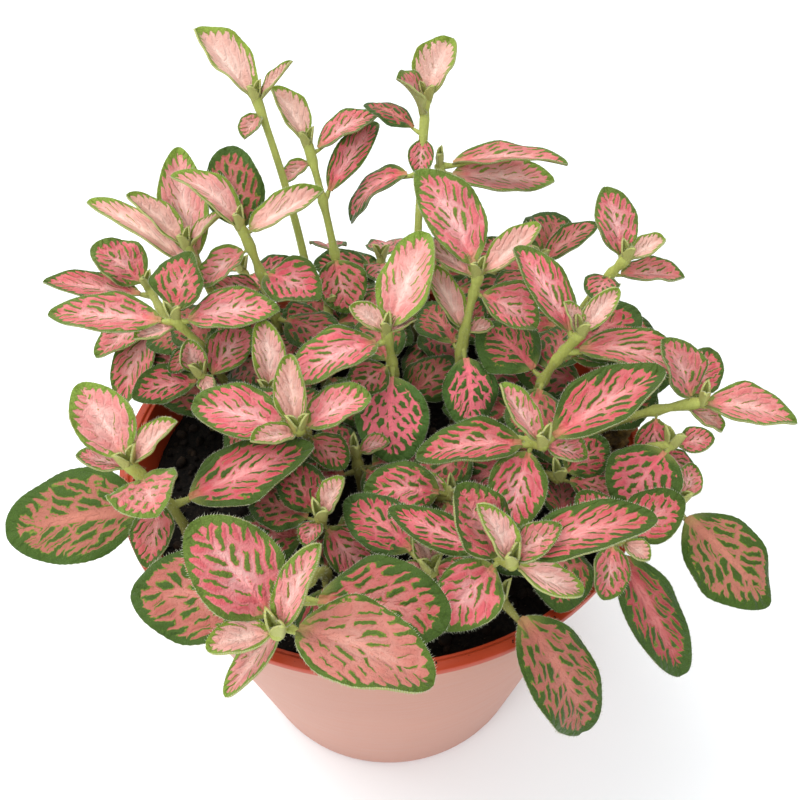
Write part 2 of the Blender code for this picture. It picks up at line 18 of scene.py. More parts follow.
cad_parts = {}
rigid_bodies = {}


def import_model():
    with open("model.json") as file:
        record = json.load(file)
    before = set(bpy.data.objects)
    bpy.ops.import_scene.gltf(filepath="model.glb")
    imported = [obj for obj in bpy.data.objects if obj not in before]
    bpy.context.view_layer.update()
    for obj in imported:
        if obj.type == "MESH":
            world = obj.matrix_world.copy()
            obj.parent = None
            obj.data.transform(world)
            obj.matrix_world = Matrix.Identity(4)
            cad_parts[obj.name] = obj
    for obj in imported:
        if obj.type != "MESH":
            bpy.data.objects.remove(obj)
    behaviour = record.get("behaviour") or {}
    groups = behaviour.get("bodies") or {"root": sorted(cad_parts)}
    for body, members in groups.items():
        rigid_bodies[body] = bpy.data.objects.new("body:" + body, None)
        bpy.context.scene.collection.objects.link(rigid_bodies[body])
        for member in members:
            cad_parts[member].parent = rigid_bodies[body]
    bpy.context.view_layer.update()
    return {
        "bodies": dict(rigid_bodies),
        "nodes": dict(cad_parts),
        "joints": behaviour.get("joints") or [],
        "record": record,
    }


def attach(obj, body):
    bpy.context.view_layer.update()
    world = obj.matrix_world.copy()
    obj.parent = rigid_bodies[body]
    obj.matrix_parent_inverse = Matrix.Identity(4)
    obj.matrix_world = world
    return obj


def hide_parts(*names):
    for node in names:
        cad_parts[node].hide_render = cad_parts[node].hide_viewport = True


MM = 0.001
UP = Vector((0, 0, 1))

Leaf = namedtuple("Leaf", "drop azimuth pitch length width droop age roll", defaults=(0,))
Stem = namedtuple("Stem", "root tip leaves")

# The pot, as in the solids
POT_HEIGHT = 88 * MM
RIM_RADIUS = 60 * MM
RIM_DEPTH = 1.6 * MM
COLLAR_RADIUS = 58.8 * MM
COLLAR_TOP_RADIUS = 59.1 * MM
COLLAR_DEPTH = 6 * MM
WALL_TOP_RADIUS = 58.2 * MM
BASE_RADIUS = 39.5 * MM
BASE_ROUND = 1.5 * MM
BASE_FACET = (0.4, 0.3)
WALL = 1.3 * MM
FLOOR = 1.6 * MM
DRAIN_COUNT = 4
DRAIN_RADIUS = 3 * MM
DRAIN_CIRCLE = 26 * MM
DRAIN_CUT = 6 * MM
RECESS = 0.4 * MM
RECESS_RADIUS = DRAIN_CIRCLE + 8 * MM
RECESS_SLOPE = 1 * MM

# What the dressed pot adds. Level edges that turn by more than CRISP are rounded, and points that
# are nearer than ONE_POINT become one
POT_STEPS = 160
DRAIN_SIDES = 32
RIM_LEDGE = 1.1 * MM
RIM_LEDGE_DROP = 0.5 * MM
RIM_LEDGE_SLOPE = 0.3 * MM
MOULD_ROUND = 0.25 * MM
CRISP = math.radians(25)
LEVEL = 0.001 * MM
ONE_POINT = 0.01 * MM

# The soil, as in the solids
SOIL_TOP = 78 * MM
SOIL_CROWN = 1.5 * MM
SHOULDER_RADIUS = 34 * MM
SHOULDER_RISE = 1 * MM
GAP = 0.3 * MM

# What the dressed soil adds: lumps, each with a width and a rise, and loose crumbs on top. The crumbs'
# sizes and reaches are in millimetres, and the higher the skew, the more of them are small
SOIL_STEPS = 128
SOIL_PITCH = 1.1 * MM
SOIL_SIDE = 3 * MM
LUMP_SHIFT = 7.3
LUMPS = ((9 * MM, 1.0 * MM), (3.2 * MM, 0.9 * MM), (1.5 * MM, 0.6 * MM))
CRUMBS = 1300
CRUMB_SIZE = (0.35, 1.9)
CRUMB_SKEW = 2.6
CRUMB_MARGIN = 0.4 * MM
CRUMB_STRETCH = ((0.7, 1.3), (0.6, 1.1), (0.5, 0.9))
CRUMB_ROUGH = 0.12 * MM
CRUMB_GRAIN = 900
CRUMB_RISE = 0.3
CRUMB_SEED = 11
RIM_CRUMBS = 46
RIM_CRUMB_SIZE = (0.12, 0.3)
RIM_CRUMB_REACH = (0.3, 1.9)
RIM_CRUMB_RISE = 0.2

# Crumpled dried leaves, in millimetres and degrees: x, y and height, then half the length, width and
# thickness, then which way they lie and how far they rise. Bulges and creases have a depth and a rate
SCRAPS = ((51.5, -1.0, 85.8, 8.4, 5.4, 4.2, -4, 26), (50.0, -12.5, 81.3, 4.4, 3.0, 3.0, 15, 0))
BULGE = (0.4, 1.7)
CREASES = ((0.35, 3.5), (0.15, 8))

# The stems, as in the solids
ROOT_DEPTH = 8 * MM
STEM_STEPS = 4
STEM_RISE = 0.55

# What the dressed stems add. They are a little finer than the solid ones, and reach on past their
# tips by some millimetres
STEM_RINGS = 30
STEM_SIDES = 12
DRESSED_ROOT = 1.15 * MM
DRESSED_NECK = 0.85 * MM
DRESSED_TIP = 0.55 * MM
TIP_REACH = 0.8
KNOT_SWELL = 0.5 * MM
KNOT_REACH = 1.5 * MM
BUD_LEAF = Leaf(0.3, 0, 76, 4.6, 2.7, -10, -0.6)
BUD_NUMBER = 900

# The leaves, as in the solids. Fold, petiole and crown go from young leaves to old ones
PETIOLE_HALF = 0.75 * MM
LEAF_START = 0.5 * MM
OUTLINE_SKEW = 0.87
FOLD = (34, -8)
PETIOLE = (0.05, 0.17)
MIDRIB_STEPS = 24
TILT = 16
ROLL = 8
ROLL_STEP = 2.4
LOW_PAIRS = ((90 * MM, 3 * MM), (101 * MM, 9 * MM))
LOW_LEAF = Leaf(0, 0, 2, 20, 12.5, 25, 0.9)
GOLDEN_ANGLE = 137.5
BENDS = (0, 7, -7, 14, -14, 21, -21, 30, -30, 40)
TURNS = (0, 8, -8, 16, -16, 26, -26)
SHORTER = (1.0, 0.9, 0.8, 0.68, 0.55)
TURN_COST = 1.1
SHORTER_COST = 110
TIP_MATCH = 0.02 * MM

# A dressed blade's outline is an oval raised to a power, which changes over the middle of the blade
# from the base's to the tip's. How far points are from it is measured at so many spots
BASE_POWER = 0.75
TIP_POWER = (0.48, 0.68)
POWER_CHANGE = 1.6
POWER_START = 0.3
EDGE_SPOTS = 160

# The dressed blades: how thick they are, how they differ from leaf to leaf, and their grid. TWIST is in
# degrees, ROW_PITCH and QUILT_WIDTH in millimetres, and other plain numbers are shares of the leaf
BLADE = 0.4 * MM
LOPSIDED = 0.06
ARC = 0.045
TWIST = 14
TWIST_POWER = 1.5
ROW_PITCH = 0.6
LEAST_ROWS = 9
EASE = 0.45
COLUMNS = 14
LAST_COLUMN = 0.99
CROWN = (1.25, 1.8)
EDGE_WAVE = 0.12
WAVES = 1.3
SIDE_PHASE = 2.1
FINE_WAVE = 0.5
FINE_WAVES = 2.3
TEETH = 0.006
EDGE_CURL = 0.08
QUILT = 0.34 * MM
YOUNG_QUILT = 0.5
QUILT_WIDTH = 12
GROOVE = 0.3 * MM
GROOVE_HALF = 0.7 * MM
MOST_DUSTY = 0.35

# The petiole and the midrib under the blade are one tube, which is smaller on a leaf that is shorter
# than the full length, in millimetres
PETIOLE_RADIUS = 0.95 * MM
RIB_RADIUS = 0.5 * MM
RIB_END = 0.15 * MM
RIB_REACH = 0.72
RIB_RINGS = 16
RIB_SIDES = 8
RIB_SINK = 0.75
LEAST_PETIOLE = 0.04
FULL_LENGTH = 24
RIB_SIZE = (0.45, 1.1)

# The side veins run forward from the midrib, and further forward in a narrow leaf and near its edge.
# Long leaves have more of them. The offset is between the veins of the two sides
VEINS = 4.2
MORE_VEINS = 0.11
MOST_VEINS = 7.8
VEIN_SLOPE = 0.95
VEIN_BEND = 0.3
VEIN_OFFSET = 0.45
SEED_SHIFT = 9

# How leaves look in the photo where they look older or younger than they are shaped, or stand out.
# By number: the age to colour them by, from -1 to 1 how vivid or how dusty they are, and for some
# how many times as many veins they have
# Vivid leaves are also made lighter as painted light against the shade they grow in, and a few ages and
# dusty values lighten or darken a leaf as painted light and shade
LOOKS = {
    0: (0.36, 0.2), 1: (0.34, 0.1), 5: (0.66, 0), 12: (0.2, 0), 15: (0.8, 0.4), 17: (0.5, 0),
    34: (0.25, 0), 36: (0.33, 0), 42: (0.92, -1), 44: (0.42, 0), 47: (0.45, 0.3), 49: (1, -0.4),
    64: (0.6, -0.4), 67: (0.95, 0.8), 69: (0.95, -0.1), 74: (0.24, 0), 75: (0.62, 0.1), 76: (0.3, 0.1),
    77: (0.6, 0.1), 78: (0.48, 0), 79: (0.5, 0.2), 80: (0.1, 0), 81: (0.62, 0.15), 82: (0.1, 0),
    83: (0.45, 0.1), 84: (0.62, -0.2), 86: (0.88, 0.65, 1.1), 88: (0.4, 0.1), 89: (0.22, 0),
    91: (0.3, 0.7), 92: (0.8, 0.6), 97: (0.82, -0.3), 104: (0.62, -0.2), 107: (0.2, 0), 111: (1, 0.7),
    112: (0.65, 0), 114: (0.42, 0), 117: (0.3, -0.2), 120: (0.2, 0), 121: (0.42, 0),
    124: (0.84, -1, 1.12),
}

# Hairs on the margins, the petioles and the stems. Pitch and length are in millimetres, and a millimetre
# of stem or petiole has so many. Spread, length and forward are from least to most, and up and ahead
# are a mean and how far from it they stray
HAIR_PITCH = 0.38
HAIR_SPREAD = (0.6, 1.4)
HAIR_LENGTH = (0.35, 0.75)
HAIR_RADIUS = 0.05 * MM
HAIR_START = 0.5 * MM
HAIR_MIDDLE = 0.42
HAIR_FORWARD = (0.1, 0.9)
HAIR_UP = (0.1, 0.35)
HAIR_AHEAD = (0.1, 0.3)
HAIR_SINK = 0.95
TUBE_HAIRS = 8

# Small shapes are made so many at a time, because an operator is slow in a large mesh
BATCH = 60

# Each stem has its root (x, y), its tip (x, y, z) and its leaves, in millimetres and degrees.
# A leaf's drop is how far under the tip it grows, its azimuth is its heading (0 is +X, 90 is +Y),
# its pitch is how steeply it rises, its droop is how much it bends down along its length,
# and its age runs from 0, just opened, to 1, old and dark. Some leaves also roll to one side.
PLAN = {
    "left": ((-36, 16), (-46, 17, 112), (
        (1, 180, 8, 28, 11, 25, 0.45), (1, 0, 6, 23.5, 11, 20, 0.4), (0, 62, 50, 15.5, 14, 10, 0.55),
        (2, -160, 6, 10, 7, 10, 0.12), (9, -110, -15, 9, 6, 20, 0.6))),
    "left_inner": ((-33, 8), (-41, 10, 101), (
        (2, -170, -5, 17, 10, 20, 0.5), (2, 48, 22, 16, 10, 20, 0.4), (0, 128, 35, 9, 6.5, 10, 0.2),
        (0, -60, -5, 6.5, 4.5, 10, 0.1))),
    "left_back": ((-36, 28), (-43, 31, 122), (
        (0, 155, 40, 17, 8, 15, 0.05), (0, 8, 42, 11.5, 5, 5, 0.05), (7, 155, 25, 31, 8.5, 30, 0.1),
        (6, 100, 58, 28, 12, 15, 0.3))),
    "bud": ((-24, 30), (-30, 31, 127), (
        (2, 165, 28, 20.5, 8.5, 60, 0.15), (2, 3, 28, 21, 9, 20, 0.05), (4, 105, 58, 21, 14, 25, 0.7),
        (6, -152, -25, 14, 10, 20, 0.3), (13, -35, -4, 17, 14, 25, 0.4), (18, 178, 0, 13, 7, 10, 0.4))),
    "tall_left": ((-16, 42), (-26, 58, 144), (
        (0, 146, 42, 20.5, 13, 10, 0.02), (0, 10, 45, 12, 4.5, 5, 0.02), (3, -120, -20, 8, 6, 10, 0.2))),
    "cream": ((-8, 40), (-15, 58, 132), (
        (0, 133, 45, 16, 9, 15, 0.02), (2, 25, 18, 20, 9.5, 20, 0.4), (14, 48, 30, 26, 8, 60, 0.5),
        (4, -170, -30, 9, 6, 20, 0.2), (27, -78, -35, 16, 13, 20, 0.5), (27, 102, -25, 16, 10, 30, 0.6))),
    "tall": ((10, 38), (14, 59, 142), (
        (0, 50, 52, 15, 12, 10, 0.02), (4, -165, 60, 13, 12, 50, 0.3), (8, 148, 15, 17, 7, 40, 0.9),
        (8, -100, -40, 10, 6.5, 15, 0.4), (17, 178, -38, 24, 11, 80, 0.6))),
    "arching": ((18, 36), (17, 53, 128), (
        (0, -12, 5, 31, 10, 30, 0.35, -10), (2, 0, -6, 28.5, 12, 15, 0.35, 10),
        (14, -60, -5, 14, 9, 20, 0.5))),
    "centre_back": ((18, 12), (23, 18, 120), (
        (0, 133, 45, 26.5, 14, 20, 0.35), (0, 19, 35, 17, 8, 10, 0.08), (1, 153, 20, 17, 7, 55, 0.15),
        (4, -30, -18, 16, 12.5, 30, 0.4), (14, 131, 48, 17.5, 8, 25, 0.1), (14, 13, 5, 6.5, 5, 10, 0.12),
        (17, -86, -45, 20, 13, 25, 0.95), (17, 76, 25, 13, 10, 30, 0.8))),
    "right_inner": ((34, 4), (43, 1, 116), (
        (2, 134, 42, 24, 9.5, 45, 0.3), (0, 28, 45, 12, 6, 5, 0.06), (0, 131, 55, 8, 5, 5, 0.1),
        (6, -20, -2, 28, 11, 60, 0.4), (9, 7, 5, 18.5, 10, 20, 0.7), (16, 138, 5, 20, 15, 25, 0.85),
        (9, 10, 50, 20, 14, 25, 0.8))),
    "right_behind": ((30, 24), (42, 42, 106), (
        (0, 62, 20, 16, 15.5, 30, 0.8), (2, 25, 25, 19.5, 8, 40, 0.6), (2, -131, 0, 16.5, 10, 20, 0.8),
        (4, 150, 15, 17, 10, 25, 0.6))),
    "right_back": ((44, 22), (56, 19, 122), (
        (1, 112, 52, 17, 10.5, 20, 0.35), (0, 23, 30, 10, 6, 10, 0.03), (5, -7, 0, 16, 9, 20, 0.4),
        (5, -119, 5, 12, 8, 30, 0.6))),
    "right": ((44, -4), (67, -13, 108), (
        (2, -21, 2, 20, 10.5, 25, 0.3), (2, 140, 40, 16, 10.5, 25, 0.35), (4, 53, 45, 14.5, 9.5, 20, 0.55),
        (4, -32, -20, 9, 6, 20, 0.2), (10, -100, -55, 12, 8, 20, 0.5))),
    "right_low": ((40, -14), (60, -19, 102), (
        (0, -135, -25, 18, 16, 25, 0.45), (4, -22, -30, 11.5, 6, 20, 0.5), (0, -9, 20, 8, 6, 10, 0.4))),
    "outer_right": ((42, -20), (60, -29, 95), (
        (2, -46, -24, 27.5, 18, 20, 0.8, 8), (0, 60, 20, 9, 6, 10, 0.3))),
    "drooping": ((32, -26), (46, -38, 96), (
        (3, -48, -48, 34, 12, 15, 0.6), (2, -107, -28, 12, 8, 20, 0.4), (2, 15, 12, 15.5, 11, 20, 0.6),
        (0, -37, -5, 6, 5, 10, 0.1), (0, 130, 20, 12, 8, 20, 0.5))),
    "middle_right": ((20, -4), (32, -23, 108), (
        (0, 138, 45, 15, 7.5, 15, 0.12), (1, 15, 28, 28, 13, 30, 0.35), (1, -20, -5, 9, 7, 15, 0.15),
        (3, -174, 0, 24, 11, 25, 0.35), (4, -111, -25, 18.5, 12, 25, 0.45))),
    "front_right": ((14, -32), (22, -50, 107), (
        (2, 140, 50, 17, 12, 15, 0.4), (0, 143, 58, 13.5, 6.5, 10, 0.05), (3, 0, 22, 27.5, 10.5, 30, 0.4),
        (0, -15, 0, 13.5, 6.5, 15, 0.03), (4, -138, -15, 17, 12, 40, 0.5), (5, 156, 12, 22, 7.5, 30, 0.5),
        (3, 3, 45, 12.5, 6.5, 20, 0.3))),
    "over_rim": ((20, -40), (21, -49, 94), (
        (0, -46, -47, 33, 15, 58, 0.65), (0, 167, 5, 9, 7, 20, 0.6))),
    "front_left": ((-12, -36), (-18, -65, 113), (
        (2, 142, 45, 22, 14.5, 20, 0.45), (0, 44, 52, 16.5, 7, 5, 0.03), (1, -165, 5, 11, 6.5, 20, 0.1),
        (3, -28, 4, 26.5, 15, 25, 0.4), (8, 169, 0, 27.5, 17, 20, 0.75), (6, -135, -25, 15.5, 5.5, 10, 0.2),
        (12, -14, 4, 26.5, 16, 25, 0.7))),
    "front": ((6, -34), (8, -46, 100), (
        (0, 108, 50, 9, 6, 10, 0.1), (1, -166, 5, 7, 5, 60, 0.25), (8, 138, 10, 20.5, 12, 25, 0.8),
        (8, -36, 0, 13, 9, 20, 0.6))),
    "front_inner": ((-14, -26), (-13, -30, 97), (
        (0, 42, 50, 9.5, 6, 10, 0.1), (3, 160, 5, 15.5, 11, 30, 0.85), (3, 130, 28, 14, 10, 25, 0.85),
        (3, -69, -30, 15, 10, 20, 0.5), (1, -115, 0, 7, 5, 60, 0.4))),
    "small": ((2, -18), (14, -24, 95), (
        (0, -178, 10, 19, 12, 60, 0.8), (0, 158, 12, 10, 5, 10, 0.1), (3, -60, 0, 14, 9, 20, 0.7))),
    "left_front": ((-40, -27), (-49, -25, 110), (
        (0, 130, 42, 18, 12, 15, 0.25), (1, 166, 10, 11, 6, 15, 0.3), (0, 24, 42, 12.5, 7, 5, 0.08),
        (3, -65, 8, 13, 14, 20, 0.3), (13, -176, -5, 33, 20, 15, 0.75, -18), (13, 17, 12, 31, 15, 20, 0.6),
        (9, -96, -22, 14.5, 8.5, 20, 0.5))),
    "middle_left": ((-16, -2), (-17, -15, 107), (
        (1, 164, 8, 23, 12, 25, 0.4), (0, 96, 50, 15.5, 7.5, 15, 0.06), (1, -147, -8, 11, 6.5, 10, 0.15),
        (2, 17, 18, 16, 10.5, 20, 0.3), (10, -46, -10, 12, 8, 20, 0.6), (10, 149, 10, 17, 11, 20, 0.7))),
    "middle": ((4, 8), (2, 8, 113), (
        (1, 57, 45, 24, 13.5, 20, 0.25), (2, -146, 2, 25, 13, 25, 0.4), (0, 159, 35, 9.5, 6.5, 10, 0.05),
        (0, 18, 25, 7, 4.5, 10, 0.1), (9, -90, -42, 23, 17, 20, 0.65), (9, -135, 0, 13, 9, 20, 0.6))),
    "far_left": ((-42, 14), (-59, 46, 100), (
        (0, 160, 38, 17, 14.5, 25, 0.4), (3, 180, 13, 27, 9, 25, 0.45), (8, -137, -10, 20, 10, 25, 0.35),
        (9, -113, -20, 26, 11, 20, 0.4))),
    "low_back": ((-14, 18), (-12, 35, 100), (
        (2, -164, 0, 17, 13, 25, 0.85), (0, 53, 30, 11, 9, 20, 0.3), (6, -144, 10, 17.5, 9, 20, 0.75),
        (6, 23, 10, 20.5, 12, 20, 0.8))),
    "low_left": ((-24, 3), (-25, 5, 99), (
        (0, 96, 50, 16.5, 8.5, 12, 0.1), (0, -84, 10, 8, 5, 20, 0.2), (4, 178, 5, 14, 10, 25, 0.8),
        (4, -5, 5, 12, 9, 25, 0.8))),
    "low_middle": ((-5, -13), (-6, -10, 94), (
        (0, 10, 15, 7.5, 5.5, 15, 0.25), (0, -150, 5, 9, 6, 20, 0.35), (3, 130, 5, 14, 9, 25, 0.85),
        (3, -50, 0, 14, 9.5, 25, 0.85))),
    "low_right": ((28, -8), (37, -20, 94), (
        (0, 27, 10, 13, 10, 20, 0.8), (0, -21, -10, 13.5, 9, 20, 0.8))),
    "back": ((0, 48), (2, 61, 96), (
        (1, 85, -20, 22, 12, 30, 0.6), (1, -95, 15, 14, 9, 20, 0.5), (4, 165, 0, 19, 11, 25, 0.7),
        (4, -10, 0, 19, 11, 25, 0.7))),
    "back_left": ((-27, 43), (-36, 56, 97), (
        (1, 125, -20, 24, 12, 30, 0.6), (1, -50, 5, 13, 8, 20, 0.5), (4, 40, -8, 17, 10, 25, 0.7))),
    "back_right": ((28, 42), (34, 59, 96), (
        (1, 60, -20, 23, 12, 30, 0.6), (4, 130, -5, 17, 10, 25, 0.7), (4, -40, 0, 16, 10, 25, 0.7))),
    "side_right": ((48, 10), (58, 14, 96), (
        (1, 25, -25, 18, 11, 25, 0.6), (3, -60, -5, 15, 9, 20, 0.7), (3, 100, 0, 16, 10, 20, 0.7))),
}
STEMS = {f"stem_{name}": Stem(*row) for name, row in PLAN.items()}


def mix(young, old, age):
    """From one value to another as the age, or another share, goes from 0 to 1."""
    return young + (old - young) * age


def linear(*screen):
    """A colour in the 0 to 255 steps of a screen, as the light that Blender reckons in."""
    steps = [step / 255 for step in screen]
    return (*((step / 12.92 if step < 0.04 else ((step + 0.055) / 1.055) ** 2.4) for step in steps), 1)


class Field:
    """What a node gives at each point of a surface. Fields can be added, multiplied and so on."""

    def __init__(self, finish, socket):
        self.finish = finish
        self.socket = socket

    def math(self, operation, *others):
        return self.finish.node("Math", self, *others, operation=operation)

    __add__ = __radd__ = partialmethod(math, "ADD")
    __sub__ = partialmethod(math, "SUBTRACT")
    __mul__ = partialmethod(math, "MULTIPLY")
    __truediv__ = partialmethod(math, "DIVIDE")
    __pow__ = partialmethod(math, "POWER")
    __abs__ = partialmethod(math, "ABSOLUTE")
    floor = partialmethod(math, "FLOOR")
    at_least = partialmethod(math, "MAXIMUM")
    at_most = partialmethod(math, "MINIMUM")
    over = partialmethod(math, "GREATER_THAN")

    def __rsub__(self, other):
        return self.finish.node("Math", other, self, operation="SUBTRACT")

    def parts(self):
        """The three numbers of a vector."""
        split = self.finish.node("SeparateXYZ", self).socket.node
        return [Field(self.finish, socket) for socket in split.outputs]

    def noise(self, scale, detail=2, roughness=0.5):
        """Cloudy noise over a place, from about -0.5 to 0.5."""
        named = {"Vector": self, "Scale": scale, "Detail": detail, "Roughness": roughness}
        return self.finish.node("TexNoise", named=named) - 0.5

    def smooth(self, start, end):
        """From 0 at one value to 1 at another, smooth between them and level past them."""
        return self.finish.node("MapRange", self, start, end, interpolation_type="SMOOTHSTEP")

    def ramp(self, stops):
        """A colour by a value, from stops of (value, colour)."""
        field = self.finish.node("ValToRGB", self)
        band = field.socket.node.color_ramp
        band.elements[0].position, band.elements[0].color = stops[0]
        band.elements[-1].position, band.elements[-1].color = stops[-1]
        for position, colour in stops[1:-1]:
            band.elements.new(position).color = colour
        return field

    def curve(self, stops):
        """A number by a value, from stops of (value, number), with numbers from -1 to 1."""
        greys = [(position, (*[(number + 1) / 2] * 3, 1)) for position, number in stops]
        return self.ramp(greys) * 2 - 1

    def blend(self, low, high):
        """From one colour to another as the value goes from 0 to 1."""
        return self.finish.node("Mix", out=2, named={0: self, 6: low, 7: high}, data_type="RGBA")


class Finish:
    """A material whose nodes are added as formulas."""

    def __init__(self, name, specular):
        self.material = bpy.data.materials.new(name)
        self.material.use_nodes = True
        self.nodes = self.material.node_tree.nodes
        self.skin = self.nodes["Principled BSDF"]
        self.feed(self.skin.inputs["Specular IOR Level"], specular)

    def feed(self, socket, value):
        if isinstance(value, Field):
            self.material.node_tree.links.new(value.socket, socket)
        else:
            socket.default_value = value

    def node(self, kind, *inputs, out=0, named=(), **settings):
        made = self.nodes.new("ShaderNode" + kind)
        for name, value in settings.items():
            setattr(made, name, value)
        for socket, value in zip(made.inputs, inputs):
            self.feed(socket, value)
        for name, value in dict(named).items():
            self.feed(made.inputs[name], value)
        return Field(self, made.outputs[out])

    def place(self):
        return self.node("TexCoord", out=3)

    def attribute(self, name):
        """The three numbers of a vector that the mesh keeps at each point."""
        return self.node("Attribute", out=1, attribute_name=name).parts()

    def vector(self, *parts):
        return self.node("CombineXYZ", *parts)

    def shade(self, colour, factor):
        """A colour made darker or lighter by a number near 1."""
        named = {0: 1, 6: colour, 7: factor}
        return self.node("Mix", out=2, named=named, data_type="RGBA", blend_type="MULTIPLY")

    def done(self, colour, roughness, height=None, distance=0, strength=1):
        """The material, with bumps of a height where one is given."""
        self.feed(self.skin.inputs["Base Color"], colour)
        self.feed(self.skin.inputs["Roughness"], roughness)
        if height is not None:
            named = {"Height": height, "Distance": distance, "Strength": strength}
            self.feed(self.skin.inputs["Normal"], self.node("Bump", named=named))
        return self.material


# How brightly the top of the plant is lit. Colours are given as the photo shows them in that light
LIT = 1.33


def seen(*screen):
    """The colour of a surface that shows as this one in the light."""
    return (*(step / LIT for step in linear(*screen)[:3]), 1)


def by_age(ages, *colours):
    """The stops of a ramp, from ages and the colours that show at them."""
    return [(age, seen(*colour)) for age, colour in zip(ages, colours)]


# Colours from the photo, by a leaf's age
AGES = (0, 0.2, 0.35, 0.5, 0.65, 0.85, 1)
GREEN_BY_AGE = by_age(
    AGES, (158, 182, 70), (138, 166, 64), (114, 138, 56), (88, 112, 40), (70, 94, 30), (62, 88, 32),
    (68, 96, 32))
PINK_BY_AGE = by_age(
    AGES, (251, 222, 209), (248, 204, 193), (244, 190, 186), (236, 170, 168), (224, 150, 148),
    (206, 126, 122), (196, 112, 106))
HOT_BY_AGE = by_age(
    AGES, (247, 197, 182), (244, 154, 149), (238, 116, 124), (228, 94, 106), (210, 82, 92),
    (182, 66, 74), (172, 66, 66))
BACK_BY_AGE = by_age((0, 0.4, 1), (198, 202, 120), (170, 174, 106), (122, 126, 68))
BUD_GREEN = seen(206, 214, 112)
BASE_GREEN = seen(178, 180, 96)
FRESH_RIM = seen(158, 174, 62)
DUSTY_PINK = seen(186, 122, 100)
DUSTY_GREEN = seen(68, 97, 24)
VIVID_PINK = seen(255, 130, 144)
VIVID_GREEN = seen(82, 116, 50)
STALK_COLOURS = (seen(140, 134, 70), seen(184, 192, 98))
HAIR_COLOUR = seen(214, 218, 188)

# Colours of peat, of its pale flecks, and of crumbs and dried leaves from dark to light
PEAT_COLOURS = (linear(6, 5, 4), linear(34, 27, 21))
FLECK_COLOUR = linear(80, 64, 48)
CRUMB_COLOURS = (
    (0, linear(14, 11, 9)), (0.45, linear(26, 21, 17)), (0.74, linear(48, 37, 28)), (1, linear(96, 78, 58)))
DRIED_COLOURS = (linear(60, 44, 26), linear(136, 108, 52))

# Colours of the wall from its foot up, of the rim and the inside, of dirt on the rim, and of the table. The
# wall is the plastic's colour made paler as a painted reflection of the white surroundings, and lighter at
# its foot as painted light bounced from the floor
WALL_COLOURS_WITH_PAINTED_LIGHT = (seen(213, 156, 137), seen(200, 142, 122))
RIM_RED = seen(190, 66, 32)
RIM_DIRT = seen(72, 40, 28)
TABLE_WHITE = linear(244, 248, 250)

# The veins make a net of cells. How unevenly the cells stand, how much each one's luck tells, how far
# the net and the veins sway, and by age how crowded the cells are outwards
NET_LUCK = 0.62
CELL_LUCK = 0.2
NET_SWAY = 0.8
VEIN_SWAY = 0.16
SWAY_SCALE = 11
CROWDED = ((0, 0.6), (0.33, 0.85), (0.42, 0.62), (0.6, 0.68), (0.85, 0.95), (1, 0.65))

# By age, in cells: half the width of the green in a cell, and of the pink between two cells
GREEN_HALF = ((0, -0.1), (0.16, 0.03), (0.35, 0.16), (0.5, 0.19), (0.65, 0.25), (0.82, 0.3), (1, 0.4))
PINK_HALF = ((0, 0.1), (0.35, 0.14), (0.6, 0.12), (0.85, 0.14), (1, 0.1))

# By age, in shares of half the leaf's width: how far in the green margin reaches, and over how much the
# pink narrows to a point in each vein. The margin is wider at the tip, and both are less on dusty leaves
MARGIN = ((0, 0.1), (0.2, 0.07), (0.35, 0.04), (0.5, 0.06), (0.65, 0.1), (0.85, 0.07), (1, 0.14))
TAPER = ((0, 0.45), (0.2, 0.26), (0.4, 0.2), (0.7, 0.24), (0.9, 0.24), (1, 0.24))
TIP_MARGIN = 0.13
TIP_START = 0.72
WORN = 0.5

# By age, in lengths of the leaf: half the width of the pink band along the midrib, which narrows
# towards the tip and fades out between two places
RIB_BAND = ((0, 0.02), (0.5, 0.022), (0.85, 0.024), (1, 0.034))
BAND_NARROWS = 1.5
BAND_FADES = (0.74, 0.88)

# How sharply the green stops at the margin and at the midrib, how ragged and how streaked its edges
# are, how soft they are, where the fresh rim of the green begins and ends, and how fine the fraying
# and the grain are
MARGIN_SHARP = 3
BAND_SHARP = 12
RAGGED = 0.2
STREAKED = 0.16
GREEN_EDGE = 0.025
RIM_EDGE = (0.09, 0.01)
FRAY_SCALE = 52
LEAF_GRAIN = 2600

# The short down on the leaves, as a sheen
VELVET = 0.08
VELVET_ROUGHNESS = 0.4

# Painted shade: low in the canopy, inside the pot, everything is coloured darker
DEEP = (76 * MM, 97 * MM)
OPEN = (44 * MM, 58 * MM)
DARKEST = 0.25

# Heights between which stalks turn fresh green
FRESH_STALK = (84 * MM, 112 * MM)

# Heights between which the wall's dusty colour gives way to the rim's, and radii at the pot's base
# between which it gives way to that of the inside
RIM_COLOUR = (POT_HEIGHT - 2.6 * MM, POT_HEIGHT - 1.5 * MM)
INSIDE_COLOUR = (BASE_RADIUS - 0.4 * MM, BASE_RADIUS - 0.8 * MM)


def painted_depth_shade(place):
    """A factor of painted shade that darkens what grows low down among the other stems."""
    x, y, height = place.parts()
    outside = ((x * x + y * y) ** 0.5).smooth(*OPEN)
    return height.smooth(*DEEP).at_least(outside) * (1 - DARKEST) + DARKEST


def vein_rows(finish, along, across, sway=0):
    """Where a point is from vein to vein, and how far out along them, in lengths of the leaf, with how
    many side veins the leaf has and where its blade starts."""
    veins, shape, blade_start = finish.attribute("leaf_veins")
    away = abs(across)
    slope = shape ** -1 * VEIN_SLOPE
    start = along - away * slope - (away / shape) ** 2 * VEIN_BEND + sway * VEIN_SWAY
    out = (along * slope + away) / (slope * slope + 1) ** 0.5
    return start, out, veins, blade_start


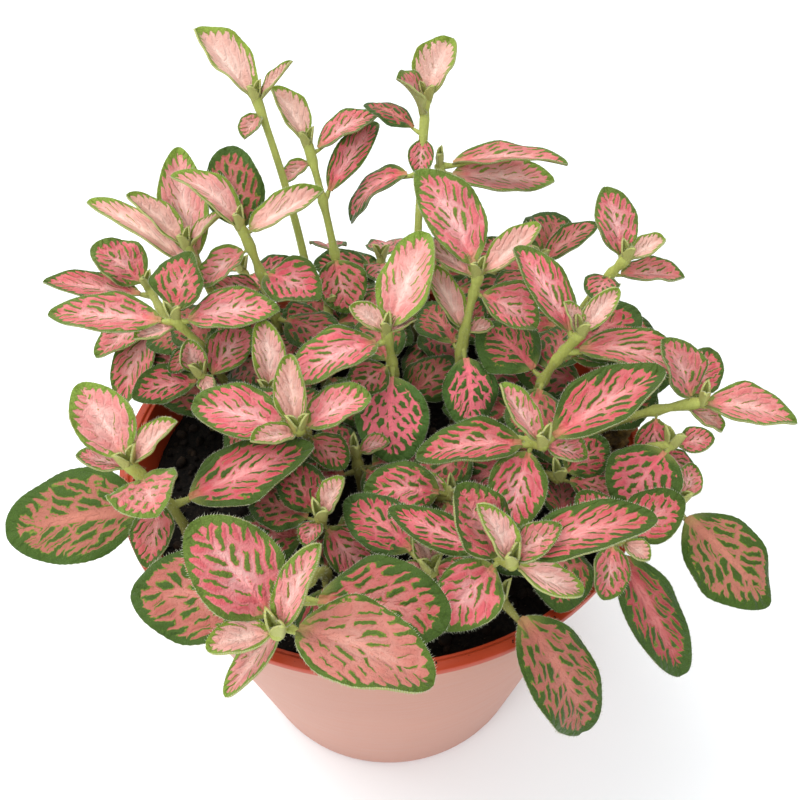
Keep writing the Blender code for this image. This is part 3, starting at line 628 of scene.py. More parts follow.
def vein_net(finish, along, across, age, seed):
    """How far a point is, in cells, from the nearest vein and from the middle of its row of cells, with
    a random number for its cell, streaks along the side veins, and where the blade starts."""
    side = across.over(0)
    # The numbers with the seed and the side, here and below, only shift the pattern to another place
    sway = finish.vector(along, across, seed * 31).noise(SWAY_SCALE)
    start, out, veins, blade_start = vein_rows(finish, along, across, sway)
    strip = start * veins + side * VEIN_OFFSET + seed * SEED_SHIFT
    run = out * veins * age.curve(CROWDED) + sway * NET_SWAY + seed * 40 + side * 7.3
    spot = {"Vector": finish.vector(strip, run), "Scale": 1, "Randomness": NET_LUCK}
    net = finish.node("TexVoronoi", named=spot, voronoi_dimensions="2D", feature="DISTANCE_TO_EDGE")
    cell = finish.node("TexVoronoi", named=spot, out=1, voronoi_dimensions="2D")
    middle = abs(strip - strip.floor() - 0.5)
    streaks = finish.vector(start * 34, out * 7, seed * 41 + side * 5).noise(1)
    return net, middle, cell.parts()[0] - 0.5, streaks, blade_start


def leaf_face():
    finish = Finish("veined leaf face", specular=0.18)
    finish.feed(finish.skin.inputs["Sheen Weight"], VELVET)
    finish.feed(finish.skin.inputs["Sheen Roughness"], VELVET_ROUGHNESS)
    along, across, edge = finish.attribute("leaf_place")
    age, seed, dusty = finish.attribute("leaf_kind")
    place = finish.place()
    net, middle, luck, streaks, blade_start = vein_net(finish, along, across, age, seed)
    fray = finish.vector(along, across, seed * 13).noise(FRAY_SCALE, 3, 0.6)
    # The pattern: green islands in the cells, a green margin, and the pink band of the midrib
    worn = 1 - dusty.at_least(0) * WORN
    margin = (age.curve(MARGIN) + along.smooth(TIP_START, 1) * TIP_MARGIN) * worn
    taper = ((edge - margin) / (age.curve(TAPER) * worn)).at_most(1)
    taper = taper * (2 - taper)
    closing = (1 - taper) * 0.5
    green = age.curve(GREEN_HALF) + luck * CELL_LUCK - middle + closing
    green = green.at_most(net - age.curve(PINK_HALF) * (1 + luck) + closing)
    green = green.at_least((margin - edge) * MARGIN_SHARP) + fray * RAGGED + streaks * STREAKED
    band_half = age.curve(RIB_BAND) * (BAND_NARROWS - along)
    past_band = along.smooth(*BAND_FADES) * 0.5
    green = green.at_most((abs(across) - band_half) * BAND_SHARP + fray * 0.1 + past_band)
    share = green.smooth(-GREEN_EDGE, GREEN_EDGE)
    fresh = green.smooth(*RIM_EDGE)
    cloud = place.noise(170, 3)
    grain = place.noise(LEAF_GRAIN, 2, 0.7)
    # Light specks: the pale down on the leaf, and a painted sheen on its hairs
    down_and_sheen_specks = finish.node("TexVoronoi", named={"Vector": place, "Scale": 2300}).smooth(0.4, 0.1)
    vivid = dusty.smooth(0, -1)
    # The pink: hot inwards, in the middle of the veins and beside the green, and paler on the midrib. Young
    # and vivid leaves are also made lighter as painted light: on young leaves for the light through their
    # thin blades, on vivid ones against the shade they grow in
    heat = edge.smooth(0.92, 0.35) * 0.75 + net.smooth(0.02, 0.25) * 0.3
    heat = heat.at_least(green.smooth(-0.12, -0.02) * 0.8)
    pink = heat.blend(age.ramp(PINK_BY_AGE), age.ramp(HOT_BY_AGE))
    pink = (vivid * 0.8).blend(dusty.blend(pink, DUSTY_PINK), VIVID_PINK)
    pale_rib_and_painted_light = abs(across).smooth(0.05, 0.005) * along.smooth(0.95, 0.5) * 0.25
    # Painted light on young and vivid leaves
    pale_rib_and_painted_light = pale_rib_and_painted_light + age.smooth(0.3, 0) * 0.14 + vivid * 0.22
    pink = finish.shade(pink, 0.96 + cloud * 0.24 + grain * 0.2 + streaks * 0.12 + down_and_sheen_specks * 0.1 + pale_rib_and_painted_light)
    # The green, then the foot of the blade, and the plain green of a bud
    greens = vivid.blend(dusty.blend(age.ramp(GREEN_BY_AGE), DUSTY_GREEN), VIVID_GREEN)
    greens = finish.shade(greens, 0.94 + (seed - 0.5) * 0.12 + cloud * 0.45 + grain * 0.6 + down_and_sheen_specks * 0.4)
    colour = share.blend(pink, (fresh * 0.5).blend(greens, FRESH_RIM))
    base = (along - blade_start).smooth(0.14, 0) * (1 - age * 0.5)
    colour = (base * 0.75).blend(colour, BASE_GREEN)
    colour = age.smooth(-0.02, -0.2).blend(colour, BUD_GREEN)
    # Painted shade low in the canopy, which vivid leaves are spared
    colour = finish.shade(colour, painted_depth_shade(place).at_least(vivid))
    height = net.smooth(0, 0.4) * 0.8 + share * 0.25 + grain * 0.5 + fray * 0.5 + down_and_sheen_specks * 0.25
    return finish.done(colour, 0.5 + grain * 0.2 + share * 0.03, height, distance=0.36 * MM, strength=0.9)


def leaf_back():
    finish = Finish("leaf underside", specular=0.2)
    along, across, _ = finish.attribute("leaf_place")
    age, seed, _ = finish.attribute("leaf_kind")
    start, out, veins, _ = vein_rows(finish, along, across)
    strip = start * veins + across.over(0) * VEIN_OFFSET + seed * SEED_SHIFT
    ridges = abs((strip - strip.floor()) * 2 - 1).smooth(0.82, 1)
    lines = finish.vector(start * 60, out * 10, seed * 7).noise(1, 3, 0.6)
    place = finish.place()
    grain = place.noise(LEAF_GRAIN, 2, 0.6)
    colour = finish.shade(age.ramp(BACK_BY_AGE), 1 + lines * 0.35 + grain * 0.2 + ridges * 0.2)
    # Painted shade low in the canopy
    colour = finish.shade(colour, painted_depth_shade(place))
    height = ridges * 0.8 + lines * 0.5 + grain * 0.4
    return finish.done(colour, 0.52 + grain * 0.2, height, distance=0.18 * MM, strength=0.8)


def stalk_finish():
    finish = Finish("green stalk", specular=0.25)
    place = finish.place()
    cloud = place.noise(220, 3)
    grain = place.noise(2400, 2, 0.6)
    x, y, height = place.parts()
    streaks = finish.vector(x, y, height * 0.12).noise(1500)
    colour = height.smooth(*FRESH_STALK).blend(*STALK_COLOURS)
    colour = finish.shade(colour, 1 + cloud * 0.5 + grain * 0.3 + streaks * 0.3)
    # Painted shade low in the canopy
    colour = finish.shade(colour, painted_depth_shade(place))
    return finish.done(colour, 0.5 + grain * 0.25, grain + cloud + streaks, distance=0.2 * MM, strength=0.9)


def hair_finish():
    finish = Finish("pale hair", specular=0.4)
    cloud = finish.place().noise(400)
    colour = finish.shade(HAIR_COLOUR, 1 + cloud * 0.3)
    return finish.done(colour, 0.5 + cloud * 0.3, cloud, distance=0.02 * MM, strength=0.5)


def peat_finish():
    finish = Finish("damp peat", specular=0.15)
    place = finish.place()
    lumps = place.noise(900, 4, 0.65)
    grain = place.noise(4200, 3, 0.7)
    flecks = place.noise(1500, 1).smooth(0.2, 0.26)
    colour = lumps.smooth(-0.15, 0.3).blend(*PEAT_COLOURS)
    colour = (flecks * 0.5).blend(colour, FLECK_COLOUR)
    roughness = 0.82 + grain * 0.4 - flecks * 0.2
    return finish.done(colour, roughness, lumps * 0.7 + grain * 0.4, distance=0.9 * MM)


def crumb_finish():
    finish = Finish("peat crumb", specular=0.15)
    place = finish.place()
    cloud = place.noise(260)
    grain = place.noise(3800, 3, 0.7)
    colour = (0.5 + cloud * 1.5 + grain * 0.5).ramp(CRUMB_COLOURS)
    return finish.done(colour, 0.85 + grain * 0.3, grain, distance=0.5 * MM)


def dried_finish():
    finish = Finish("dried leaf scrap", specular=0.3)
    place = finish.place()
    cloud = place.noise(500, 3)
    grain = place.noise(3200, 3, 0.7)
    colour = cloud.smooth(-0.2, 0.25).blend(*DRIED_COLOURS)
    colour = finish.shade(colour, 1 + grain * 0.9)
    return finish.done(colour, 0.7 + grain * 0.3, grain + cloud, distance=0.4 * MM)


def pot_finish():
    finish = Finish("moulded pot plastic", specular=0.3)
    place = finish.place()
    x, y, height = place.parts()
    radius = (x * x + y * y) ** 0.5
    rim = height.smooth(*RIM_COLOUR)
    inside = (radius - height * ((WALL_TOP_RADIUS - BASE_RADIUS) / POT_HEIGHT)).smooth(*INSIDE_COLOUR)
    cloud = place.noise(40, 3)
    film = finish.vector(x, y, height * 14).noise(60, 3, 0.6)
    grain = place.noise(5200, 2, 0.6)
    specks = place.noise(1900, 1).smooth(0.24, 0.3)
    # Paler than the plastic as painted reflection, and lighter towards the foot as painted light from the
    # floor
    dusty = height.smooth(0, POT_HEIGHT).blend(*WALL_COLOURS_WITH_PAINTED_LIGHT)
    dusty = finish.shade(dusty, 1 + film * 0.14 + cloud * 0.1)
    bright = finish.shade(RIM_RED, 1 + cloud * 0.2 + film * 0.1)
    colour = rim.at_least(inside).blend(dusty, bright)
    colour = (specks * rim * 0.4).blend(colour, RIM_DIRT)
    roughness = 0.5 + film * 0.2 + grain * 0.12 - rim * 0.08
    return finish.done(colour, roughness, grain * 0.6 + film * 0.5, distance=0.06 * MM, strength=0.7)


def floor_finish():
    finish = Finish("white table", specular=0.2)
    cloud = finish.place().noise(6)
    return finish.done(finish.shade(TABLE_WHITE, 1 + cloud * 0.02), 0.6 + cloud * 0.1)


def add_object(name, data):
    made = bpy.data.objects.new(name, data)
    bpy.context.scene.collection.objects.link(made)
    return made


def to_mesh(name, bm):
    """A mesh of what a bmesh holds. The bmesh is freed."""
    mesh = bpy.data.meshes.new(name)
    bm.to_mesh(mesh)
    bm.free()
    return mesh


def add_piece(name, bm, finishes, nodes):
    """A finished piece that rides with the object and stands for its nodes."""
    mesh = to_mesh(name, bm)
    for finish in finishes:
        mesh.materials.append(finish)
    mesh.polygons.foreach_set("use_smooth", [True] * len(mesh.polygons))
    piece = add_object(name, mesh)
    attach(piece, "root")
    if nodes:
        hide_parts(*nodes)
    return piece


def pour(bm, part):
    """Adds one bmesh to another and frees it."""
    mesh = to_mesh("part", part)
    bm.from_mesh(mesh)
    bpy.data.meshes.remove(mesh)


def many(make, shapes, **settings):
    """One bmesh of many small shapes, each made with its own settings and those they share."""
    bm = bmesh.new()
    for first in range(0, len(shapes), BATCH):
        batch = bmesh.new()
        for shape in shapes[first:first + BATCH]:
            make(batch, **shape, **settings)
        pour(bm, batch)
    return bm


def around(radius, angle, height):
    """The point at a height that is so far from the axis, in a direction."""
    return radius * math.cos(angle), radius * math.sin(angle), height


def turned(profile, steps):
    """Turns an outline of (radius, height) points, from the axis back to the axis, about Z."""
    bm = bmesh.new()
    points = [bm.verts.new((radius, 0, height)) for radius, height in profile]
    edges = [bm.edges.new(pair) for pair in zip(points, points[1:])]
    bmesh.ops.spin(bm, geom=points + edges, angle=math.tau, steps=steps, axis=UP, use_merge=True)
    bmesh.ops.remove_doubles(bm, verts=bm.verts, dist=ONE_POINT)
    bmesh.ops.recalc_face_normals(bm, faces=bm.faces)
    return bm


def sweep(bm, path, radii, sides):
    """A round tube along a path, with a radius at each point and both ends closed."""
    steps = len(path) - 1
    tube = bmesh.new()
    bmesh.ops.create_cone(tube, cap_ends=True, segments=sides, radius1=1, radius2=1, depth=1)
    long = [edge for edge in tube.edges if abs(edge.verts[0].co.z - edge.verts[1].co.z) > 0.5]
    bmesh.ops.subdivide_edges(tube, edges=long, cuts=steps - 1, use_grid_fill=True)
    frames = []
    side = None
    for index, point in enumerate(path):
        ahead = (path[min(index + 1, steps)] - path[max(index - 1, 0)]).normalized()
        side = ahead.orthogonal() if side is None else side - ahead * side.dot(ahead)
        side.normalize()
        frames.append((point, side.copy(), ahead.cross(side)))
    for vert in tube.verts:
        row = round((vert.co.z + 0.5) * steps)
        point, side, other = frames[row]
        vert.co = point + (side * vert.co.x + other * vert.co.y) * radii[row]
    pour(bm, tube)


def wall_radius(height):
    """The outer wall's radius at a height."""
    return BASE_RADIUS + (WALL_TOP_RADIUS - BASE_RADIUS) * height / POT_HEIGHT


def soil_radius(height):
    """The soil's radius at a height. There is a small gap between it and the wall."""
    return wall_radius(height) - (WALL + GAP)


INNER_RADIUS = WALL_TOP_RADIUS - WALL
INNER_RIM = INNER_RADIUS + RIM_LEDGE
SOIL_EDGE = soil_radius(SOIL_TOP)


def make_pot():
    collar_foot = POT_HEIGHT - COLLAR_DEPTH
    rim_foot = POT_HEIGHT - RIM_DEPTH
    ledge = POT_HEIGHT - RIM_LEDGE_DROP
    profile = [
        (0, RECESS),
        (RECESS_RADIUS, RECESS),
        (RECESS_RADIUS + RECESS_SLOPE, 0),
        (BASE_RADIUS - BASE_ROUND, 0),
        (BASE_RADIUS - BASE_FACET[0] * BASE_ROUND, BASE_FACET[1] * BASE_ROUND),
        (BASE_RADIUS, BASE_ROUND),
        (wall_radius(collar_foot), collar_foot),
        (COLLAR_RADIUS, collar_foot + COLLAR_RADIUS - wall_radius(collar_foot)),
        (COLLAR_TOP_RADIUS, rim_foot),
        (RIM_RADIUS, rim_foot),
        (RIM_RADIUS, POT_HEIGHT),
        (INNER_RIM, POT_HEIGHT),
        (INNER_RIM - RIM_LEDGE_SLOPE, ledge),
        (INNER_RADIUS, ledge),
        (wall_radius(FLOOR) - WALL, FLOOR),
        (0, FLOOR),
    ]
    bm = turned(profile, POT_STEPS)
    rings = [
        edge for edge in bm.edges
        if abs(edge.verts[0].co.z - edge.verts[1].co.z) < LEVEL and edge.calc_face_angle() > CRISP]
    bmesh.ops.bevel(
        bm, geom=rings, offset=MOULD_ROUND, segments=3, profile=0.5, affect="EDGES", material=-1)
    pot = add_piece("moulded_pot", bm, [pot_finish()], ["pot"])
    drains = bmesh.new()
    for index in range(DRAIN_COUNT):
        place = Matrix.Translation(around(DRAIN_CIRCLE, math.tau * index / DRAIN_COUNT, 0))
        # Half a side round, so that no corner of a drain falls on an edge of the turned floor
        turn = Matrix.Rotation(math.pi / DRAIN_SIDES, 4, "Z")
        bmesh.ops.create_cone(
            drains, cap_ends=True, segments=DRAIN_SIDES, radius1=DRAIN_RADIUS, radius2=DRAIN_RADIUS,
            depth=DRAIN_CUT, matrix=place @ turn)
    cutter = add_object("drains", to_mesh("drains", drains))
    cut = pot.modifiers.new("drains", "BOOLEAN")
    cut.operation = "DIFFERENCE"
    cut.solver = "EXACT"
    cut.object = cutter
    view = bpy.context.evaluated_depsgraph_get()
    drained = bpy.data.meshes.new_from_object(pot.evaluated_get(view))
    pot.modifiers.clear()
    pot.data = drained
    bpy.data.meshes.remove(cutter.data)
    drained.set_sharp_from_angle(angle=CRISP)


def soil_height(x, y):
    """The soil's top at a place, with its lumps, level by the wall."""
    radius = math.hypot(x, y)
    if radius < SHOULDER_RADIUS:
        crown = mix(SOIL_CROWN, SHOULDER_RISE, radius / SHOULDER_RADIUS)
    else:
        crown = mix(SHOULDER_RISE, 0, (radius - SHOULDER_RADIUS) / (SOIL_EDGE - SHOULDER_RADIUS))
    height = SOIL_TOP + crown
    for index, (width, rise) in enumerate(LUMPS):
        height += rise * noise.noise(Vector((x / width, y / width, LUMP_SHIFT * index)))
    return height


def make_soil():
    low = FLOOR + GAP
    shoulder = SOIL_TOP - SOIL_SIDE
    rings = round(SOIL_EDGE / SOIL_PITCH)
    profile = [(0, low), (soil_radius(low), low), (soil_radius(shoulder), shoulder)]
    profile += [(SOIL_EDGE * (1 - ring / rings), SOIL_TOP) for ring in range(rings + 1)]
    bm = turned(profile, SOIL_STEPS)
    for vert in bm.verts:
        if vert.co.z > SOIL_TOP - 1 * MM:
            vert.co.z = soil_height(vert.co.x, vert.co.y)
    bmesh.ops.recalc_face_normals(bm, faces=bm.faces)
    add_piece("peat", bm, [peat_finish()], ["soil"])


def make_crumbs():
    """Loose crumbs of peat on the soil, and a few small ones on the rim."""
    draw = random.Random(CRUMB_SEED)
    noise.seed_set(CRUMB_SEED)
    crumbs = []
    for index in range(CRUMBS + RIM_CRUMBS):
        angle = draw.uniform(0, math.tau)
        if index < CRUMBS:
            size = mix(*CRUMB_SIZE, draw.random() ** CRUMB_SKEW) * MM
            radius = (SOIL_EDGE - size - CRUMB_MARGIN) * math.sqrt(draw.random())
            height = soil_height(*around(radius, angle, 0)[:2]) + size * CRUMB_RISE
        else:
            size = draw.uniform(*RIM_CRUMB_SIZE) * MM
            radius = INNER_RIM + mix(*RIM_CRUMB_REACH, draw.random() ** 2) * MM
            height = POT_HEIGHT + size * RIM_CRUMB_RISE
        place = Matrix.Translation(around(radius, angle, height))
        turn = Matrix.Rotation(draw.uniform(0, math.tau), 4, [draw.gauss(0, 1) for _ in range(3)])
        stretch = Matrix.Diagonal([*(draw.uniform(*span) for span in CRUMB_STRETCH), 1])
        crumbs.append({"radius": size, "matrix": place @ turn @ stretch})
    bm = many(bmesh.ops.create_icosphere, crumbs, subdivisions=1)
    for vert in bm.verts:
        vert.co += CRUMB_ROUGH * noise.noise_vector(vert.co * CRUMB_GRAIN)
    add_piece("peat_crumbs", bm, [crumb_finish()], [])


def make_scraps():
    """Crumpled dried leaves, lying on the soil and against the pot's rim."""
    bm = bmesh.new()
    for *place, length, width, thickness, turn, rise in SCRAPS:
        centre = Vector(place) * MM
        lie = Matrix.Rotation(math.radians(turn), 3, "Z") @ Matrix.Rotation(math.radians(-rise), 3, "Y")
        scrap = bmesh.new()
        bmesh.ops.create_icosphere(scrap, subdivisions=5, radius=1)
        for vert in scrap.verts:
            folds = 1 + BULGE[0] * noise.noise(vert.co * BULGE[1] + centre * 300)
            for depth, rate in CREASES:
                folds -= depth * abs(noise.noise(vert.co * rate))
            spot = Vector((vert.co.x * length, vert.co.y * width, vert.co.z * thickness)) * folds * MM
            vert.co = centre + lie @ spot
        pour(bm, scrap)
    add_piece("dried_scraps", bm, [dried_finish()], [])


def bend(foot, tip, steps):
    """Points on the one bend of a stem, from its foot straight up and then out to its tip."""
    knee = Vector((foot.x, foot.y, foot.z + STEM_RISE * (tip.z - foot.z)))
    for step in range(steps + 1):
        t = step / steps
        yield (1 - t) ** 2 * foot + 2 * t * (1 - t) * knee + t * t * tip


def stem_line(stem):
    """Points up the middle of a stem: straight in the soil, then one bend out to its tip."""
    foot = Vector((*stem.root, 0)) * MM + Vector((0, 0, SOIL_TOP + SOIL_CROWN + GAP))
    root = Vector((foot.x, foot.y, SOIL_TOP - ROOT_DEPTH))
    return [root, *bend(foot, Vector(stem.tip) * MM, STEM_STEPS)]


def below_tip(line, drop):
    """The point on a stem's line that is a drop under its tip."""
    left = drop * MM
    for upper, lower in zip(reversed(line), reversed(line[:-1])):
        length = (upper - lower).length
        if left <= length:
            return upper.lerp(lower, left / length)
        left -= length
    return line[0].copy()


def petiole_share(leaf):
    """How much of a leaf's length its petiole takes. It is under 0 in a bud."""
    return mix(*PETIOLE, leaf.age)


def half_width(leaf, along, bluntness):
    """Half of a leaf's width at a fraction of its length: a petiole, then an oval blade with a blunt tip."""
    petiole = petiole_share(leaf)
    if along <= petiole:
        return PETIOLE_HALF
    blade = (along - petiole) / (1 - petiole)
    change = min(max(blade * POWER_CHANGE - POWER_START, 0), 1)
    power = mix(BASE_POWER, mix(*TIP_POWER, bluntness), change)
    oval = max(math.sin(math.pi * min(blade, 1) ** OUTLINE_SKEW), 0) ** power
    return max(PETIOLE_HALF * (1 - blade), leaf.width / 2 * MM * oval)


def midrib(leaf, base, fractions, number):
    """For each fraction of the length: the midrib's point, and the directions across and up."""
    azimuth = math.radians(leaf.azimuth)
    heading = Vector((math.cos(azimuth), math.sin(azimuth), 0))
    across = Vector((math.sin(azimuth), -math.cos(azimuth), 0))
    roll = math.radians(leaf.roll + TILT * heading.x + ROLL * math.sin(ROLL_STEP * number))
    stride = leaf.length * MM / MIDRIB_STEPS
    walked = [base + heading * LEAF_START]
    for step in range(MIDRIB_STEPS):
        pitch = math.radians(leaf.pitch + leaf.droop * (0.5 - (step + 0.5) / MIDRIB_STEPS))
        walked.append(walked[-1] + (heading * math.cos(pitch) + UP * math.sin(pitch)) * stride)
    frames = []
    for along in fractions:
        low = min(int(along * MIDRIB_STEPS), MIDRIB_STEPS - 1)
        here = walked[low].lerp(walked[low + 1], along * MIDRIB_STEPS - low)
        forward = (walked[low + 1] - walked[low]).normalized()
        side = Matrix.Rotation(roll, 3, forward) @ across
        frames.append((here, side, side.cross(forward)))
    return frames


def choices(leaf):
    """The leaf as drawn, then every bent, turned or shortened form of it, the least changed first."""
    forms = []
    for shorter in SHORTER:
        for bent in BENDS:
            for turn in TURNS:
                cost = abs(bent) + TURN_COST * abs(turn) + SHORTER_COST * (1 - shorter)
                form = leaf._replace(
                    azimuth=leaf.azimuth + turn, pitch=leaf.pitch + bent,
                    length=leaf.length * shorter, width=leaf.width * (1 + shorter) / 2)
                forms.append((cost, len(forms), form))
    return [form for *_, form in sorted(forms)]


def length_above(line, height):
    """How much of a stem's line stands over a height."""
    above = 0
    for low, high in zip(line, line[1:]):
        share = (high.z - height) / (high.z - low.z)
        above += (high - low).length * min(max(share, 0), 1)
    return above


def low_leaves(line, index):
    """Pairs of old leaves low on a stem, each pair square to the one under it."""
    leaves = []
    for pair, (height, margin) in enumerate(LOW_PAIRS):
        if line[-1].z > height + margin:
            drop = length_above(line, height) / MM
            azimuth = (GOLDEN_ANGLE * index + 90 * pair) % 180
            leaves += [LOW_LEAF._replace(drop=drop, azimuth=azimuth - 180 * side) for side in range(2)]
    return leaves


def all_leaves():
    """Every leaf as drawn, with the name of its stem: those of the plan first, then the low ones."""
    drawn = [(name, Leaf(*row)) for name, stem in STEMS.items() for row in stem.leaves]
    for index, (name, stem) in enumerate(STEMS.items()):
        drawn += [(name, leaf) for leaf in low_leaves(stem_line(stem), index)]
    return drawn


def placed_leaves(nodes):
    """For each stem, its leaves in the form whose tip the solid has, with their numbers and bases."""
    corners = {}
    for name in STEMS:
        verts = nodes[name].data.vertices
        corners[name] = KDTree(len(verts))
        for vert in verts:
            corners[name].insert(vert.co, vert.index)
        corners[name].balance()
    placed = {name: [] for name in STEMS}
    for number, (name, leaf) in enumerate(all_leaves()):
        base = below_tip(stem_line(STEMS[name]), leaf.drop)
        for form in choices(leaf):
            tip = midrib(form, base, [1], number)[0][0]
            if corners[name].find(tip)[2] < TIP_MATCH:
                placed[name].append((form, number, base))
                break
    return placed


def blade_rows(leaf):
    """Fractions of the length for the rows of a blade, closer together towards both ends."""
    petiole = max(petiole_share(leaf), 0)
    count = max(LEAST_ROWS, round(leaf.length * (1 - petiole) / ROW_PITCH))
    even = np.linspace(0, 1, count + 1)
    eased = (1 - np.cos(math.pi * even)) / 2
    return petiole + (1 - petiole) * mix(even, eased, EASE)


def to_edge(leaf, x, y, bluntness):
    """How far points of the flat leaf are from its edge, as a share of half its width."""
    spots = np.linspace(0, 1, EDGE_SPOTS)
    edge_x = spots * leaf.length
    edge_y = np.array([half_width(leaf, spot, bluntness) for spot in spots]) / MM
    far = np.hypot(x[:, None] - edge_x, np.abs(y)[:, None] - edge_y).min(axis=1)
    return far / (leaf.width / 2)


def add_blade(bm, layers, leaf, number, base):
    """A blade as a fine grid, quilted between its side veins and drawn to a point at its tip."""
    draw = random.Random(number)
    seed, bluntness, lopsided, arc, twist, swing = (draw.random() for _ in range(6))
    rows = blade_rows(leaf)
    last = len(rows) - 1
    frames = midrib(leaf, base, rows, number)
    here, side, up = (np.array([frame[part] for frame in frames]) for part in range(3))
    here = here + side * (ARC * (2 * arc - 1) * leaf.length * MM * np.sin(math.pi * rows))[:, None]
    turn = np.radians(TWIST * (2 * twist - 1)) * rows ** TWIST_POWER
    cosine, sine = np.cos(turn)[:, None], np.sin(turn)[:, None]
    side, up = side * cosine + up * sine, up * cosine - side * sine
    grid = bmesh.ops.create_grid(bm, x_segments=COLUMNS, y_segments=last, size=1)["verts"]
    column = np.array([vert.co.x for vert in grid])
    row = np.rint((np.array([vert.co.y for vert in grid]) + 1) / 2 * last).astype(int)
    along = rows[row]
    half = np.array([half_width(leaf, spot, bluntness) for spot in rows])[row]
    far = np.abs(column)
    edge = to_edge(leaf, along * leaf.length, column * half / MM, bluntness)
    half = half * np.where(far > LAST_COLUMN, 1 + TEETH * (-1.0) ** row, 1)
    half = half * (1 + LOPSIDED * (2 * lopsided - 1) * np.sign(column))
    age = min(max(leaf.age, 0), 1)
    fold = math.radians(mix(*FOLD, leaf.age))
    across = column * half / (leaf.length * MM)
    away = np.abs(across)
    veins = min(VEINS + MORE_VEINS * leaf.length, MOST_VEINS)
    shape = leaf.width / leaf.length
    start = along - VEIN_SLOPE * away / shape - VEIN_BEND * (away / shape) ** 2
    strip = start * veins + VEIN_OFFSET * (column > 0) + SEED_SHIFT * seed
    puff = np.sin(math.pi * (strip - np.floor(strip))) * np.sqrt(far) * (1 - far ** 4)
    phase = math.tau * (WAVES * along + swing) + SIDE_PHASE * (column > 0)
    wave = np.sin(phase) + FINE_WAVE * np.sin(FINE_WAVES * phase + SEED_SHIFT * seed)
    lift = far ** mix(*CROWN, age) * math.sin(fold) + EDGE_WAVE * far ** 2 * wave
    lift = half * (lift - EDGE_CURL * age * far ** 6)
    lift += QUILT * mix(YOUNG_QUILT, 1, age) * min(leaf.width / QUILT_WIDTH, 1) * puff
    lift -= GROOVE * np.exp(-(column * half / GROOVE_HALF) ** 2)
    points = here[row] + side[row] * (column * half * math.cos(fold))[:, None] + up[row] * lift[:, None]
    plain_look = (min(leaf.age, age), MOST_DUSTY * draw.random())
    look_age, dusty, *finer = LOOKS.get(number, plain_look)
    veins *= finer[0] if finer else 1
    place_layer, kind_layer, veins_layer = layers
    for index, vert in enumerate(grid):
        vert.co = points[index]
        vert[place_layer] = (along[index], across[index], edge[index])
        vert[kind_layer] = (look_age, seed, dusty)
        vert[veins_layer] = (veins, shape, rows[0])
    tips = [vert for index, vert in enumerate(grid) if row[index] == last]
    bmesh.ops.pointmerge(bm, verts=tips, merge_co=points[row == last].mean(axis=0))
    return points, column, row, side, up


def rib_path(leaf, number, base):
    """The petiole from the middle of the stem, and the midrib under the blade, with radii."""
    petiole = max(petiole_share(leaf), LEAST_PETIOLE)
    size = min(max(leaf.length / FULL_LENGTH, RIB_SIZE[0]), RIB_SIZE[1])
    spots = np.linspace(0, RIB_REACH, RIB_RINGS)
    path = [base]
    radii = [PETIOLE_RADIUS * size]
    for spot, (here, _, up) in zip(spots[1:], midrib(leaf, base, spots[1:], number)):
        if spot < petiole:
            radius = mix(PETIOLE_RADIUS, RIB_RADIUS, spot / petiole) * size
        else:
            radius = mix(RIB_RADIUS, RIB_END, (spot - petiole) / (RIB_REACH - petiole)) * size
        sink = (radius + BLADE * RIB_SINK) * min(spot / petiole, 1)
        path.append(here - up * sink)
        radii.append(radius)
    return path, radii


def stem_path(stem, placed):
    """The stem's curve with its radii, a little swollen where leaves grow."""
    root, foot, *_, tip = stem_line(stem)
    path = [root, (root + foot) / 2, *bend(foot, tip, STEM_RINGS)]
    radii = []
    for index, point in enumerate(path):
        near = min((point - base).length for *_, base in placed)
        radius = mix(DRESSED_ROOT, DRESSED_NECK, index / (len(path) - 1))
        radii.append(radius + KNOT_SWELL * math.exp(-(near / KNOT_REACH) ** 2))
    heading = (path[-1] - path[-2]).normalized()
    path.append(path[-1] + heading * TIP_REACH * MM)
    radii.append(DRESSED_TIP)
    return path, radii


def bud_leaves(stem, placed):
    """The pair of small folded leaves at a stem's tip, square to its top pair."""
    top = min(placed, key=lambda entry: entry[0].drop)[0]
    base = below_tip(stem_line(stem), BUD_LEAF.drop)
    return [
        (BUD_LEAF._replace(azimuth=top.azimuth + 90 + 180 * half), BUD_NUMBER + half, base)
        for half in range(2)]


def hair_bm(hairs):
    """Fine pointed hairs, from their roots, directions and lengths."""
    cones = []
    for root, direction, length in hairs:
        turn = UP.rotation_difference(direction).to_matrix().to_4x4()
        middle = Matrix.Translation(root + direction * length * HAIR_MIDDLE)
        cones.append({"depth": length, "matrix": middle @ turn})
    return many(
        bmesh.ops.create_cone, cones, cap_ends=True, segments=3, radius1=HAIR_RADIUS, radius2=0)


def edge_hairs(draw, points, column, row, side, up):
    """Hairs along both edges of a blade."""
    hairs = []
    for sign in (-1, 1):
        chosen = np.nonzero(column * sign > LAST_COLUMN)[0]
        rim = points[chosen[np.argsort(row[chosen])]]
        steps = np.linalg.norm(np.diff(rim, axis=0), axis=1)
        walk = HAIR_START
        reached = np.concatenate([[0], np.cumsum(steps)])
        while walk < reached[-1]:
            low = int(np.searchsorted(reached, walk)) - 1
            step = rim[low + 1] - rim[low]
            spot = rim[low] + step * (walk - reached[low]) / steps[low]
            lean = min(low, len(side) - 1)
            out = Vector(side[lean]) * sign + Vector(step).normalized() * draw.uniform(*HAIR_FORWARD)
            out += Vector(up[lean]) * draw.gauss(*HAIR_UP)
            hairs.append((Vector(spot), out.normalized(), draw.uniform(*HAIR_LENGTH) * MM))
            walk += HAIR_PITCH * draw.uniform(*HAIR_SPREAD) * MM
    return hairs


